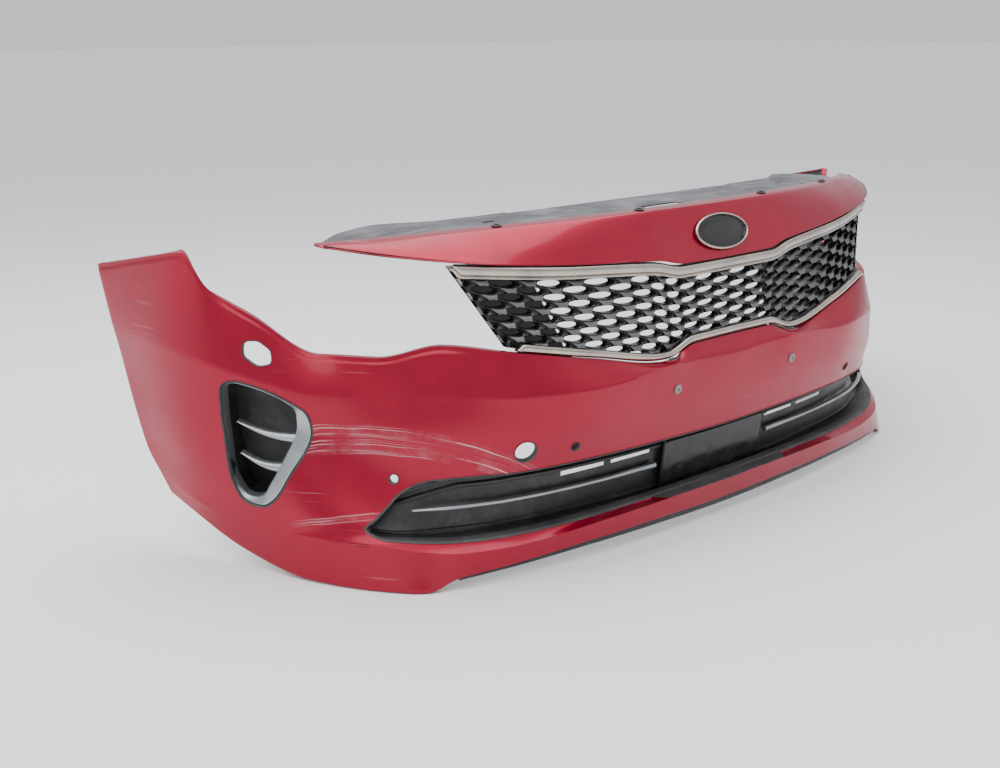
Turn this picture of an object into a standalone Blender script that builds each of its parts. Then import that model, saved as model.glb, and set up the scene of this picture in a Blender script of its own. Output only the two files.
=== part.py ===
# Front bumper cover with its grilles, trims, vents, badge and sight shield.
# Frame: +X to the right seen from the front, the front faces -Y, +Z up, metres.
# The part is symmetric about X = 0 apart from the one tow-eye hole.
import math

import bmesh
import bpy
import numpy as np
from mathutils import Matrix, Vector

# ---- driving dimensions -------------------------------------------------
HALF_WIDTH = 0.910        # centre plane to the wheel-arch edge
DEPTH_UNIT = 0.910        # metres for one unit of depth in the rails below
HEIGHT_UNIT = 0.910       # metres for one unit of height in the rails below
SKIN = 0.003              # moulded wall of the painted cover
SHEET = 0.0025            # wall of the black plastic pieces
GAP = 0.0003              # gap between touching pieces
GRILLE_DEPTH = 0.014
UPPER_TRIM = 0.021        # height of the upper chrome bar
LOWER_TRIM = 0.013        # height of the lower chrome bar
WEB_BACK = 0.040          # hidden bridges behind the sill and header edges
WEB_LEAN = 0.008          # how much further back they are at the header
WEB_INSET = 0.004         # their first step inside the opening
GRILLE_INSET = 0.007      # grille edge inside the opening's sill and header lines
CELL_COLUMNS = 9          # open columns of cells on each side of the middle one
CELL_PITCH = 0.078        # column to column, as a share of the opening's half width
CELL_HALF = 0.049         # half a cell from point to point, same share as the pitch
CELL_FLAT = 0.020         # half its flat top and bottom, same share as the pitch
CELL_STEP = 0.0234        # cell to cell down a column
CELL_FIRST = 0.030        # header line to the first cell of an odd column
CELL_HIGH = 0.0064        # half the height of a cell
CELL_MARGIN = 0.017       # sill line to the middle of the last cell, at least
PAN_CLEAR = 0.0045        # lower grille rim behind the skin's inner face
PAN_DEEP = 0.033          # lower grille floor behind the skin's inner face
PANEL_DEEP = 0.024        # centre panel behind the skin's outer face
BLADE_HALF = 0.0036       # half the height of a silver blade
BLADE_DEEP = 0.0090
LIP_DROP = 0.011          # lower lip below the cover's bottom edge, at the middle
TRIM_DEEP = 0.0100        # chrome bars, front to back
VENT_FIT = 0.0015         # vent trim inside the edge of its hole in the skin
HOUSING_FIT = 0.0020      # hollow of the vent housing outside that edge
HOUSING_DEEP = 0.0800
HOUSING_CLEAR = 0.0009    # vent housing behind the skin's inner face
SENSOR_BORE = 0.016
SENSOR_WALL = 0.0036      # ring of a sensor holder, outside its seat
SENSOR_SEAT = 0.0012      # seat of the holder outside the sensor hole
SENSOR_DEEP = 0.0180      # back of a holder behind the skin's outer face
SENSOR_CLEAR = 0.0016     # front of a holder behind the skin's inner face
TOW_BORE = 0.038
INSERT_HEAD = 0.018
INSERT_SHANK = 0.009
INSERT_LONG = 0.012
RETAINER_HEAD = 0.018
RETAINER_SHANK = 0.0074
RETAINER_LONG = 0.0130
PIN_HEAD = 0.0086
PIN_SHANK = 0.0040
PIN_LONG = 0.0170
BADGE_WIDE = 0.138
BADGE_HIGH = 0.068

# ---- rails: (width, depth, height) of the right half, centre first ------
STATIONS = (0, .115, .19, .36, .52, .62, .70, .77, .84, .90, .96, 1.07)
COVER = (
    # bottom edge
    ((0, .030, .033), (.115, .031, .034), (.19, .033, .035), (.36, .045, .034),
     (.52, .070, .027), (.64, .100, .020), (.70, .125, .000), (.76, .190, .000),
     (.83, .310, .002), (.88, .450, .030), (.912, .545, .070), (.933, .632, .105)),
    # lip crease
    ((0, .022, .078), (.115, .023, .077), (.19, .026, .076), (.36, .040, .071),
     (.52, .066, .064), (.63, .100, .066), (.70, .145, .074), (.765, .215, .085),
     (.835, .325, .085), (.885, .450, .090), (.920, .548, .110), (.941, .652, .140)),
    # behind the lip
    ((0, .050, .072), (.115, .050, .072), (.19, .052, .072), (.36, .062, .078),
     (.52, .085, .083), (.625, .122, .088), (.70, .167, .093), (.757, .222, .105),
     (.835, .330, .112), (.887, .450, .122), (.924, .552, .145), (.951, .678, .185)),
    # above the intake
    ((0, .035, .185), (.115, .036, .186), (.19, .038, .187), (.36, .050, .190),
     (.52, .082, .192), (.62, .137, .188), (.70, .208, .178), (.765, .275, .175),
     (.840, .355, .180), (.892, .455, .190), (.935, .555, .215), (.958, .700, .250)),
    # plate height
    ((0, .018, .280), (.115, .018, .280), (.19, .019, .280), (.36, .026, .275),
     (.52, .062, .270), (.63, .140, .270), (.71, .235, .270), (.775, .325, .275),
     (.850, .400, .285), (.905, .470, .305), (.945, .560, .330), (.970, .718, .360)),
    # belt and shoulder crease
    ((0, .015, .345), (.115, .016, .350), (.19, .012, .352), (.36, .018, .341),
     (.52, .062, .341), (.62, .145, .345), (.70, .240, .338), (.78, .330, .338),
     (.855, .402, .362), (.910, .462, .385), (.952, .550, .410), (.983, .721, .435)),
    # top edge: grille sill, lamp cut-out, wing
    ((0, .035, .376), (.112, .033, .376), (.189, .032, .355), (.36, .050, .385),
     (.522, .088, .417), (.62, .175, .430), (.70, .262, .405), (.76, .345, .405),
     (.84, .420, .470), (.90, .480, .525), (.94, .494, .591), (1.0, .722, .547)),
)
STRIP_STATIONS = (0, .125, .191, .36, .52, .62, .70, .77)
STRIP = (
    # edge along the upper chrome trim
    ((0, .050, .529), (.125, .051, .530), (.191, .057, .542), (.36, .082, .553),
     (.52, .120, .567), (.62, .158, .580), (.70, .219, .592), (.765, .308, .603)),
    # badge height
    ((0, .079, .583), (.125, .081, .583), (.191, .084, .589), (.36, .105, .595),
     (.52, .148, .598), (.625, .189, .601), (.703, .241, .603), (.768, .316, .605)),
    # seam with the sight shield
    ((0, .100, .630), (.125, .103, .630), (.191, .108, .630), (.36, .134, .627),
     (.52, .186, .622), (.62, .230, .617), (.70, .275, .612), (.770, .330, .607)),
    # rear edge of the flange
    ((0, .132, .630), (.125, .135, .630), (.191, .140, .630), (.36, .166, .627),
     (.52, .217, .622), (.62, .257, .617), (.695, .295, .612), (.762, .342, .607)),
)
SHIELD_STATIONS = (0, .125, .191, .36, .52, .62, .70, .745)
SHIELD = (
    ((0, .106, .6240), (.125, .109, .6240), (.191, .114, .6240), (.36, .140, .6210),
     (.52, .191, .6160), (.62, .235, .6110), (.690, .283, .6055), (.722, .310, .6005)),
    ((0, .139, .6240), (.125, .142, .6240), (.191, .147, .6240), (.36, .173, .6210),
     (.52, .223, .6160), (.62, .262, .6110), (.690, .304, .6055), (.724, .325, .6010)),
    ((0, .165, .6180), (.125, .168, .6180), (.191, .173, .6180), (.36, .200, .6180),
     (.52, .250, .6150), (.61, .290, .6100), (.690, .325, .6050), (.728, .342, .6020)),
    ((0, .338, .6180), (.125, .338, .6180), (.191, .338, .6180), (.36, .340, .6180),
     (.49, .352, .6170), (.60, .410, .6130), (.67, .400, .6090), (.735, .362, .6030)),
)
GRILLE_STATIONS = (0, .2, .36, .68, 1.0)
CREASE_ROWS = (1, 5)
COVER_COUNTS = (1, 1, 2, 4, 3, 2, 2, 2, 2, 2, 2)
COVER_ROWS = (2, 1, 3, 2, 2, 2)
INTAKE = ((0, .080), (.36, .080), (.52, .081), (.612, .083), (.677, .087), (.717, .091), (.743, .095),
          (.755, .105), (.736, .123), (.715, .144), (.698, .163), (.668, .184), (.62, .193), (.52, .195),
          (.36, .196), (.19, .194), (0, .191))
VENT_POINT = (.851, .400, .240)
VENT_OUT = (.762, -.647, 0)
WASHER = ((-.023, .020), (.001, .021), (.022, .004), (.023, -.018), (-.001, -.022), (-.025, -.004))
SENSOR_PLACES = ((.415, .231), (.700, .192))
PLATE_PLACE = (.177, .300)
TOW_PLACE = (-.517, .238)
RETAINER_PLACES = (.182, .480)
UPRIGHT = Matrix.Rotation(math.radians(90), 4, "X")


# ---- small helpers -------------------------------------------------------
def place(x, y, z):
    """A rail's (width, depth, height) in metres."""
    return Vector((x * HALF_WIDTH, y * DEPTH_UNIT, z * HEIGHT_UNIT))


def slopes(knots, values):
    """Slope of each interval, and at each knot one that does not overshoot."""
    step = np.diff(values, axis=0) / np.diff(knots)[:, None]
    mid = np.zeros_like(values)
    same = step[:-1] * step[1:] > 0
    total = np.where(same, step[:-1] + step[1:], 1.0)
    mid[1:-1] = np.where(same, 2 * step[:-1] * step[1:] / total, 0.0)
    mid[0] = step[0]
    mid[-1] = step[-1]
    return step, mid


def spline(knots, values, at, creases=()):
    """Cubic through the values that never overshoots; corners at the creases."""
    knots = np.array(knots, float)
    values = np.array(values, float)
    step, mid = slopes(knots, values)
    leave = mid[:-1].copy()
    arrive = mid[1:].copy()
    for k in creases:
        leave[k] = 0.3 * leave[k] + 0.7 * step[k]
        arrive[k - 1] = 0.3 * arrive[k - 1] + 0.7 * step[k - 1]
    at = np.clip(np.array(at, float), knots[0], knots[-1])
    i = np.clip(np.searchsorted(knots, at, side="right") - 1, 0, len(knots) - 2)
    wide = (knots[i + 1] - knots[i])[:, None]
    t = ((at - knots[i])[:, None]) / wide
    return ((2 * t ** 3 - 3 * t ** 2 + 1) * values[i] + (t ** 3 - 2 * t ** 2 + t) * wide * leave[i]
            + (3 * t ** 2 - 2 * t ** 3) * values[i + 1] + (t ** 3 - t ** 2) * wide * arrive[i])


def full(stations, rail):
    """A rail of the right half made into one across the whole width."""
    left = [(-x, y, z) for x, y, z in reversed(rail[1:])]
    knots = [-s for s in reversed(stations[1:])] + list(stations)
    return np.array(knots), np.array(left + list(rail), float)


def surface(stations, rails, across, up, creases=()):
    """Points [row, column] of the surface carried by the rails, in metres."""
    lines = []
    for rail in rails:
        knots, points = full(stations, rail)
        lines.append(spline(knots, points, across))
    lines = np.array(lines)
    heights = np.arange(len(rails))
    grid = np.empty((len(up), len(across), 3))
    for j in range(len(across)):
        grid[:, j] = spline(heights, lines[:, j], up, creases)
    return grid * np.array([HALF_WIDTH, DEPTH_UNIT, HEIGHT_UNIT])


def divided(stations, counts):
    """Column positions over the whole width, with counts pieces per interval."""
    half = [0.0]
    for a, b, n in zip(stations[:-1], stations[1:], counts):
        half += [a + (b - a) * k / n for k in range(1, n + 1)]
    return [-s for s in reversed(half[1:])] + half


def cover_at(u, v):
    """Point and outward normal of the cover at one place."""
    d = 0.01
    g = surface(STATIONS, COVER, (u - d, u, u + d), (v - d, v, v + d), CREASE_ROWS)
    normal = Vector(g[1, 2] - g[1, 0]).cross(Vector(g[2, 1] - g[0, 1])).normalized()
    return Vector(g[1, 1]), normal


def find_on_cover(x, z):
    """The place (u, v) of the cover that shows at this width and height."""
    side = -1 if x < 0 else 1
    us = [side * 1.07 * k / 214 for k in range(215)]
    vs = [k * 0.02 for k in range(301)]
    g = surface(STATIONS, COVER, sorted(us), vs, CREASE_ROWS)
    aim = (g[..., 0] - x * HALF_WIDTH) ** 2 + (g[..., 2] - z * HEIGHT_UNIT) ** 2
    row, col = np.unravel_index(np.argmin(aim), aim.shape)
    return sorted(us)[col], vs[row]


def new_object(name, mesh, home):
    body = bpy.data.objects.new(name, mesh)
    home.objects.link(body)
    return body


def from_bmesh(name, bm, home):
    mesh = bpy.data.meshes.new(name)
    bm.to_mesh(mesh)
    bm.free()
    return new_object(name, mesh, home)


def grid_faces(bm, grid):
    rows = [[bm.verts.new(p) for p in row] for row in grid]
    for a, b in zip(rows[:-1], rows[1:]):
        for j in range(len(a) - 1):
            bm.faces.new((a[j], a[j + 1], b[j + 1], b[j]))
    return rows


def sheet(name, grid, thickness, home, offset=-1.0):
    bm = bmesh.new()
    grid_faces(bm, grid)
    body = from_bmesh(name, bm, home)
    thicken(body, thickness, offset)
    return body


def thicken(body, thickness, offset=-1.0):
    """Wall from an open surface, on its inner side."""
    mod = body.modifiers.new("wall", "SOLIDIFY")
    mod.thickness = thickness
    mod.offset = offset
    mod.use_even_offset = True
    mod.use_quality_normals = True


def prism(name, outline, low, high, home, matrix=Matrix()):
    """Outline in the local XY plane, drawn out along local Z from low to high."""
    bm = bmesh.new()
    face = bm.faces.new([bm.verts.new((x, y, low)) for x, y in outline])
    drawn = bmesh.ops.extrude_face_region(bm, geom=[face])["geom"]
    ends = [item for item in drawn if isinstance(item, bmesh.types.BMVert)]
    bmesh.ops.translate(bm, verts=ends, vec=(0, 0, high - low))
    bmesh.ops.recalc_face_normals(bm, faces=bm.faces)
    bm.transform(matrix)
    return from_bmesh(name, bm, home)


def rod(name, radius, low, high, home, matrix=Matrix(), count=16):
    """Cylinder about local Z from low to high."""
    bm = bmesh.new()
    lift = Matrix.Translation((0, 0, (low + high) / 2))
    bmesh.ops.create_cone(bm, cap_ends=True, segments=count, radius1=radius, radius2=radius,
                          depth=high - low, matrix=matrix @ lift)
    return from_bmesh(name, bm, home)


def turned(name, home, profile, matrix, steps=12, closed=False):
    """Profile of (radius, height), top to bottom down its outer side, turned about local Z."""
    bm = bmesh.new()
    points = [bm.verts.new((radius, 0, height)) for radius, height in profile]
    for a, b in zip(points[:-1], points[1:]):
        bm.edges.new((a, b))
    if closed:
        bm.edges.new((points[-1], points[0]))
    body = from_bmesh(name, bm, home)
    body.matrix_world = matrix
    mod = body.modifiers.new("turn", "SCREW")
    mod.steps = steps
    mod.render_steps = steps
    mod.use_merge_vertices = True
    mod.merge_threshold = 0.00001
    return body


def loft(name, rings, home):
    """Closed bar through rings of points of one count."""
    bm = bmesh.new()
    rows = [[bm.verts.new(p) for p in ring] for ring in rings]
    for a, b in zip(rows[:-1], rows[1:]):
        for j in range(len(a)):
            m = (j + 1) % len(a)
            bm.faces.new((a[j], a[m], b[m], b[j]))
    bm.faces.new(rows[0])
    bm.faces.new(rows[-1])
    bmesh.ops.recalc_face_normals(bm, faces=bm.faces)
    return from_bmesh(name, bm, home)


def oval(wide, high, count=32):
    """Points of an ellipse of this width and height."""
    turns = [2 * math.pi * k / count for k in range(count)]
    return [(wide / 2 * math.cos(t), high / 2 * math.sin(t)) for t in turns]


def facing(point, outward, upward=Vector((0, 0, 1))):
    """Matrix with local Z along outward and local Y nearest to upward."""
    z = Vector(outward).normalized()
    x = Vector(upward).cross(z).normalized()
    y = z.cross(x)
    m = Matrix((x, y, z)).transposed().to_4x4()
    m.translation = Vector(point)
    return m


def cut(body, cutter):
    mod = body.modifiers.new("cut_" + cutter.name, "BOOLEAN")
    mod.operation = "DIFFERENCE"
    mod.solver = "EXACT"
    mod.object = cutter
    return mod


def joined(name, pieces, home):
    """One cutter out of several that do not touch."""
    bm = bmesh.new()
    for piece in pieces:
        bm.from_mesh(piece.data)
        bpy.data.objects.remove(piece)
    return from_bmesh(name, bm, home)


def material(name, colour, rough, metal=0.0):
    mat = bpy.data.materials.new(name)
    mat.use_nodes = True
    shader = mat.node_tree.nodes["Principled BSDF"]
    shader.inputs["Base Color"].default_value = (*colour, 1.0)
    shader.inputs["Roughness"].default_value = rough
    shader.inputs["Metallic"].default_value = metal
    return mat


def dress(body, mat):
    body.data.materials.clear()
    body.data.materials.append(mat)


# ---- the painted cover ---------------------------------------------------
def cover_grid(counts_u, counts_v):
    across = divided(STATIONS, counts_u)
    up = divided(range(len(COVER)), counts_v)
    up = [v for v in up if v >= 0]
    return across, surface(STATIONS, COVER, across, up, CREASE_ROWS)


def strip_grid(counts_u, counts_v):
    across = divided(STRIP_STATIONS, counts_u)
    up = [v for v in divided(range(len(STRIP)), counts_v) if v >= 0]
    return across, surface(STRIP_STATIONS, STRIP, across, up, (2,))


def web(bm, sill, header, back):
    """Hidden bridge from the sill of the cover to the header strip."""
    low = [bm.verts.new(v.co + Vector((0, back, WEB_INSET))) for v in sill]
    high = [bm.verts.new(v.co + Vector((0, back + WEB_LEAN, -WEB_INSET))) for v in header]
    for a, b in ((sill, low), (low, high), (high, header)):
        for j in range(len(a) - 1):
            bm.faces.new((a[j], a[j + 1], b[j + 1], b[j]))


def build_cover(home):
    bm = bmesh.new()
    across, lower = cover_grid(COVER_COUNTS, COVER_ROWS)
    rows = grid_faces(bm, lower)
    over, upper = strip_grid((1, 1, 2, 4, 3, 2, 2), (2, 2, 1))
    strip = grid_faces(bm, upper)
    top = rows[-1]
    base = strip[0]
    for side in (-1, 1):
        sill = [top[k] for k, u in enumerate(across) if .395 < side * u < .485]
        header = [base[k] for k, u in enumerate(over) if .475 < side * u < .56]
        web(bm, sill, header, WEB_BACK)
    body = from_bmesh("bumper_cover", bm, home)
    thicken(body, SKIN, -1.0)
    return body


def on_cover(x, z):
    """Matrix on the cover's outer face at this width and height, local Z outward."""
    return facing(*cover_at(*find_on_cover(x, z)))


def vent_matrix(side):
    x, y, z = VENT_POINT
    a, b, c = VENT_OUT
    return facing(place(side * x, y, z), (side * a, b, c))


def vent_outline(side, grow=0.0):
    """Corner vent seen from outside; the points are written with X forward."""
    points = ((-.066, .103), (-.046, .110), (-.025, .106), (.048, .074), (.071, .058), (.080, .031),
              (.045, -.046), (.014, -.091), (-.001, -.101), (-.020, -.102), (-.044, -.094), (-.054, -.080),
              (-.070, .016), (-.072, .068))
    out = []
    for x, y in points:
        r = math.hypot(x, y)
        out.append((-side * x * (r + grow) / r, y * (r + grow) / r))
    return out


def fin_opening(side):
    """The opening of the vent trim, a comb whose two teeth are the fins."""
    points = ((-.058, .093), (-.043, .101), (.026, .074), (.050, .060), (.053, .030), (-.044, .041),
              (-.044, .035), (.043, .005), (.031, -.021), (-.040, -.015), (-.040, -.022), (.017, -.048),
              (-.004, -.082), (-.020, -.086), (-.038, -.080), (-.046, -.070), (-.062, .016), (-.064, .064))
    return [(-side * x, y) for x, y in points]


def cover_cutters(home):
    outline = list(INTAKE) + [(-x, z) for x, z in reversed(INTAKE) if x > 0]
    flat = [(x * HALF_WIDTH, z * HEIGHT_UNIT) for x, z in outline]
    pieces = [prism("intake", flat, -0.30, 0.10, home, UPRIGHT)]
    pieces.append(rod("tow", TOW_BORE / 2, -.02, .02, home, on_cover(*TOW_PLACE), 24))
    for side in (-1, 1):
        pieces.append(prism("vent", vent_outline(side), -0.05, 0.05, home, vent_matrix(side)))
        washer = [(-side * x, y) for x, y in WASHER]
        pieces.append(prism("washer", washer, -0.03, 0.03, home, on_cover(side * .849, .411)))
        for x, z in SENSOR_PLACES:
            pieces.append(rod("sensor", SENSOR_BORE / 2, -.02, .02, home, on_cover(side * x, z)))
        x, z = PLATE_PLACE
        pieces.append(rod("plate", INSERT_SHANK / 2 + GAP, -.02, .02, home, on_cover(side * x, z)))
        pieces += retainer_holes(side, home)
    return joined("cover_cuts", pieces, home)


# ---- sight shield and its push-pin retainers ------------------------------
def retainer_points(side):
    """Where a retainer goes through the flange, on the top face of the flange."""
    out = []
    for u in RETAINER_PLACES:
        g = surface(STRIP_STATIONS, STRIP, (side * u,), (2.5,), (2,))
        out.append(Vector(g[0, 0]))
    return out


def retainer_holes(side, home):
    radius = RETAINER_SHANK / 2 + GAP
    return [rod("hole", radius, -.03, .03, home, Matrix.Translation(p), 12) for p in retainer_points(side)]


def build_shield(home, cutters):
    across = divided(SHIELD_STATIONS, (1, 1, 2, 2, 2, 2, 2))
    grid = surface(SHIELD_STATIONS, SHIELD, across, range(len(SHIELD)), (1, 2))
    body = sheet("sight_shield", grid, SHEET, home)
    slot = [(-.012, -.0045), (.012, -.0045), (.012, .0045), (-.012, .0045)]
    latch = [(-.050, -.018), (.030, -.018), (.030, -.006), (.050, -.006), (.050, .018), (-.050, .018)]
    pieces = [prism("latch", latch, -.02, .02, cutters, Matrix.Translation(place(-.02, .205, .617)))]
    for side in (-1, 1):
        pieces += retainer_holes(side, cutters)
        at = Matrix.Translation(place(side * .430, .270, .615))
        pieces.append(prism("slot", slot, -.02, .02, cutters, at))
    cut(body, joined("shield_cuts", pieces, cutters))
    return body


def build_retainers(home):
    """Four push-pin retainers: a headed sleeve and the pin that slides in it."""
    bore = PIN_SHANK / 2 + GAP
    head = RETAINER_HEAD / 2
    shank = RETAINER_SHANK / 2
    knob = PIN_HEAD / 2
    stem = PIN_SHANK / 2
    seat = GAP + .0005
    cap = .0027
    rest = cap + GAP
    sleeve = ((bore, cap), (head, seat + .0012), (head, seat), (shank, seat), (shank, -RETAINER_LONG),
              (bore, -RETAINER_LONG))
    pin = ((0, rest + .0015), (knob, rest + .0012), (knob, rest), (stem, rest), (stem, .0020 - PIN_LONG),
           (stem / 2, -PIN_LONG), (0, -PIN_LONG))
    made = []
    for side in (-1, 1):
        for point in retainer_points(side):
            at = Matrix.Translation(point)
            number = len(made) // 2 + 1
            made.append(turned("retainer_body_%d" % number, home, sleeve, at, closed=True))
            made.append(turned("retainer_pin_%d" % number, home, pin, at))
    return made


# ---- upper grille, its trims and the badge -------------------------------
def opening_rails():
    """Sill and header of the grille opening as (width, depth, height) rails."""
    sill = ((0, .035, .378), (.112, .033, .378), (.189, .032, .357), (.36, .050, .387), (.518, .087, .418))
    head = ((0, .050, .5275), (.130, .051, .5275), (.205, .058, .541), (.42, .095, .556), (.606, .155, .574))
    return sill, head


def opening_lines(across):
    """Sill and header lines of the opening at these columns, in metres."""
    scale = np.array([HALF_WIDTH, DEPTH_UNIT, HEIGHT_UNIT])
    lines = []
    for rail in opening_rails():
        knots, points = full(GRILLE_STATIONS, rail)
        lines.append(spline(knots, points, across) * scale)
    return lines


def grille_point(p, drop, back=0.0):
    """Point of the opening in column p, at this height below the header line."""
    low, high = opening_lines((p,))
    share = drop / (high[0, 2] - low[0, 2])
    point = high[0] + (low[0] - high[0]) * share
    return Vector(point) + Vector((0, back, 0))


def opening_height(p):
    low, high = opening_lines((p,))
    return high[0, 2] - low[0, 2]


def build_grille(home, cutters):
    across = divided(GRILLE_STATIONS, (2, 2, 3, 3))
    grid = []
    for share, back in ((0, 0.011), (0.5, 0.0145), (1, 0.018)):
        row = []
        for p in across:
            high = opening_height(p)
            row.append(grille_point(p, high - GRILLE_INSET - share * (high - 2 * GRILLE_INSET), back))
        grid.append(row)
    body = sheet("grille_mesh", grid, GRILLE_DEPTH, home)
    cells = []
    for column in range(-CELL_COLUMNS, CELL_COLUMNS + 1):
        p = column * CELL_PITCH
        drop = CELL_FIRST if column % 2 else CELL_FIRST + CELL_STEP / 2
        while drop < opening_height(p) - CELL_MARGIN:
            cells.append(cell(p, drop, cutters))
            drop += CELL_STEP
    cut(body, joined("grille_cells", cells, cutters))
    return body


def cell(p, drop, home):
    """Cutter of one cell, a long hexagon that follows the columns and rows of the opening."""
    outline = []
    for dp, dz in ((-CELL_HALF, 0), (-CELL_FLAT, CELL_HIGH), (CELL_FLAT, CELL_HIGH), (CELL_HALF, 0),
                   (CELL_FLAT, -CELL_HIGH), (-CELL_FLAT, -CELL_HIGH)):
        at = grille_point(p + dp, drop + dz)
        outline.append((at.x, at.z))
    return prism("cell", outline, -0.4, 0.1, home, UPRIGHT)


def trim_bar(name, rail, knots, counts, high, home, up_shift):
    """Bar of crowned section, high tall, that follows a rail."""
    across = divided(knots, counts)
    k, points = full(knots, rail)
    line = spline(k, points, across) * np.array([HALF_WIDTH, DEPTH_UNIT, HEIGHT_UNIT])
    crown = -0.0030
    back = crown + TRIM_DEEP
    shape = ((back, 0.0), (-0.0010, 0.15), (crown, 0.5), (-0.0010, 0.85), (back, 1.0))
    rings = []
    for x, y, z in line:
        rings.append([(x, y + dy, z + up_shift + dz * high) for dy, dz in shape])
    return loft(name, rings, home)


def build_trims(home):
    sill, head = opening_rails()
    counts = (2, 2, 3, 3)
    lower = trim_bar("grille_trim_lower", sill, GRILLE_STATIONS, counts, LOWER_TRIM, home, 0.0010)
    upper = trim_bar("grille_trim_upper", head, GRILLE_STATIONS, counts, UPPER_TRIM, home,
                     -UPPER_TRIM - 0.0010)
    return [lower, upper]


def badge_matrix():
    g = surface(STRIP_STATIONS, STRIP, (-.01, 0, .01), (.75, .85, .95), (2,))
    normal = Vector(g[1, 2] - g[1, 0]).cross(Vector(g[2, 1] - g[0, 1])).normalized()
    return facing(Vector(g[1, 1]), normal)


def build_badge(home, cutters):
    at = badge_matrix()
    inner = oval(BADGE_WIDE - .0080, BADGE_HIGH - .0080)
    base = prism("badge_base", inner, .0026, .0055, home, at)
    ring = prism("badge_ring", oval(BADGE_WIDE, BADGE_HIGH), .0029, .0080, home, at)
    cut(ring, prism("badge_cut", oval(BADGE_WIDE - .0074, BADGE_HIGH - .0074), -.01, .02, cutters, at))
    return base, ring


# ---- lower intake ---------------------------------------------------------
def behind_cover(across, rows, depths):
    """Grid behind the cover: rows and depths are lists of one value per column."""
    out = np.empty((len(rows), len(across), 3))
    for j, u in enumerate(across):
        column = surface(STATIONS, COVER, (u,), [row[j] for row in rows], CREASE_ROWS)[:, 0]
        out[:, j] = column
        out[:, j, 1] += [depth[j] for depth in depths]
    return out


def build_lower_grille(home, cutters):
    half = (0, .115, .19, .275, .36, .44, .52, .60, .66, .70, .735, .765, .772)
    across = [-u for u in reversed(half[1:])] + list(half)
    size = [abs(u) for u in across]
    low = list(np.interp(size, (0, .36, .52, .62, .70, .772), (2.03, 2.0, 1.95, 1.90, 1.85, 1.80)))
    high = list(np.interp(size, (0, .60, .66, .70, .735, .772), (3.08, 3.08, 2.94, 2.83, 2.62, 2.34)))
    near = [SKIN + PAN_CLEAR + .006 * max(0, u - .5) for u in size]
    far = [SKIN + PAN_DEEP if u < .77 else n for u, n in zip(size, near)]
    middle = [(a + b) / 2 for a, b in zip(low, high)]
    rows = [low, [a + .01 for a in low], middle, [b - .01 for b in high], high]
    body = sheet("lower_grille", behind_cover(across, rows, [near, far, far, far, near]), SHEET, home)
    slots = []
    for side in (-1, 1):
        for inner, outer in ((.178, .282), (.298, .402)):
            a, b = sorted((side * inner * HALF_WIDTH, side * outer * HALF_WIDTH))
            outline = [(a, .1420), (b, .1420), (b, .1520), (a, .1520)]
            slots.append(prism("slot", outline, -.2, 0, cutters, UPRIGHT))
    cut(body, joined("lower_slots", slots, cutters))
    return body


def build_blade(side, home):
    line = ((.172, .069, .131), (.30, .076, .132), (.42, .088, .134), (.52, .106, .136),
            (.62, .142, .137), (.685, .180, .1365))
    rings = []
    for k, (x, y, z) in enumerate(line):
        p = place(side * x, y, z)
        thick = BLADE_HALF if k < len(line) - 1 else BLADE_HALF / 2
        shape = ((BLADE_DEEP, -.8), (0.0012, -.9), (0.0, 0.0), (0.0012, .9), (BLADE_DEEP, .8))
        rings.append([(p.x, p.y + dy, p.z + dz * thick) for dy, dz in shape])
    return loft("blade_" + ("left" if side < 0 else "right"), rings, home)


def build_centre_panel(home):
    across = (-.155, -.08, 0, .08, .155)
    rows = [[v] * 5 for v in (2.12, 2.5, 2.90)]
    grid = behind_cover(across, rows, [[PANEL_DEEP] * 5] * 3)
    return sheet("centre_panel", grid, SHEET, home)


def build_lip(home):
    across = divided(STATIONS[:6], COVER_COUNTS[:5])
    k, points = full(STATIONS, COVER[0])
    line = spline(k, points, across) * np.array([HALF_WIDTH, DEPTH_UNIT, HEIGHT_UNIT])
    rings = []
    for u, (x, y, z) in zip(across, line):
        deep = LIP_DROP - 0.006 * (abs(u) / .62) ** 2
        shape = ((.003, -.0010), (.022, -.0010), (.022, -.004), (.006, -deep), (.003, -deep))
        rings.append([(x, y + dy, z + dz) for dy, dz in shape])
    return loft("lower_lip", rings, home)


# ---- corner vents, sensor holders and plate inserts -----------------------
def inset(grid, depth):
    """The grid moved inward along its own normals."""
    across = np.gradient(grid, axis=1)
    up = np.gradient(grid, axis=0)
    out = np.cross(across, up)
    out /= np.linalg.norm(out, axis=2)[..., None]
    return grid - out * depth


def slab(name, inner, outer, home):
    """Closed body between two grids of the same shape."""
    bm = bmesh.new()
    low = grid_faces(bm, inner)
    high = grid_faces(bm, outer)
    for a, b in ((low[0], high[0]), (low[-1], high[-1])):
        for j in range(len(a) - 1):
            bm.faces.new((a[j], a[j + 1], b[j + 1], b[j]))
    for k in (0, -1):
        for i in range(len(low) - 1):
            bm.faces.new((low[i][k], low[i + 1][k], high[i + 1][k], high[i][k]))
    bmesh.ops.recalc_face_normals(bm, faces=bm.faces)
    return from_bmesh(name, bm, home)


def corner_patch(side):
    """The grid of the cover round the corner vent."""
    across = [u for u in divided(STATIONS, COVER_COUNTS) if .72 < side * u < 1.02]
    up = [v for v in divided(range(len(COVER)), COVER_ROWS) if 1 <= v <= 5.6]
    return surface(STATIONS, COVER, across, up, CREASE_ROWS)


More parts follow.
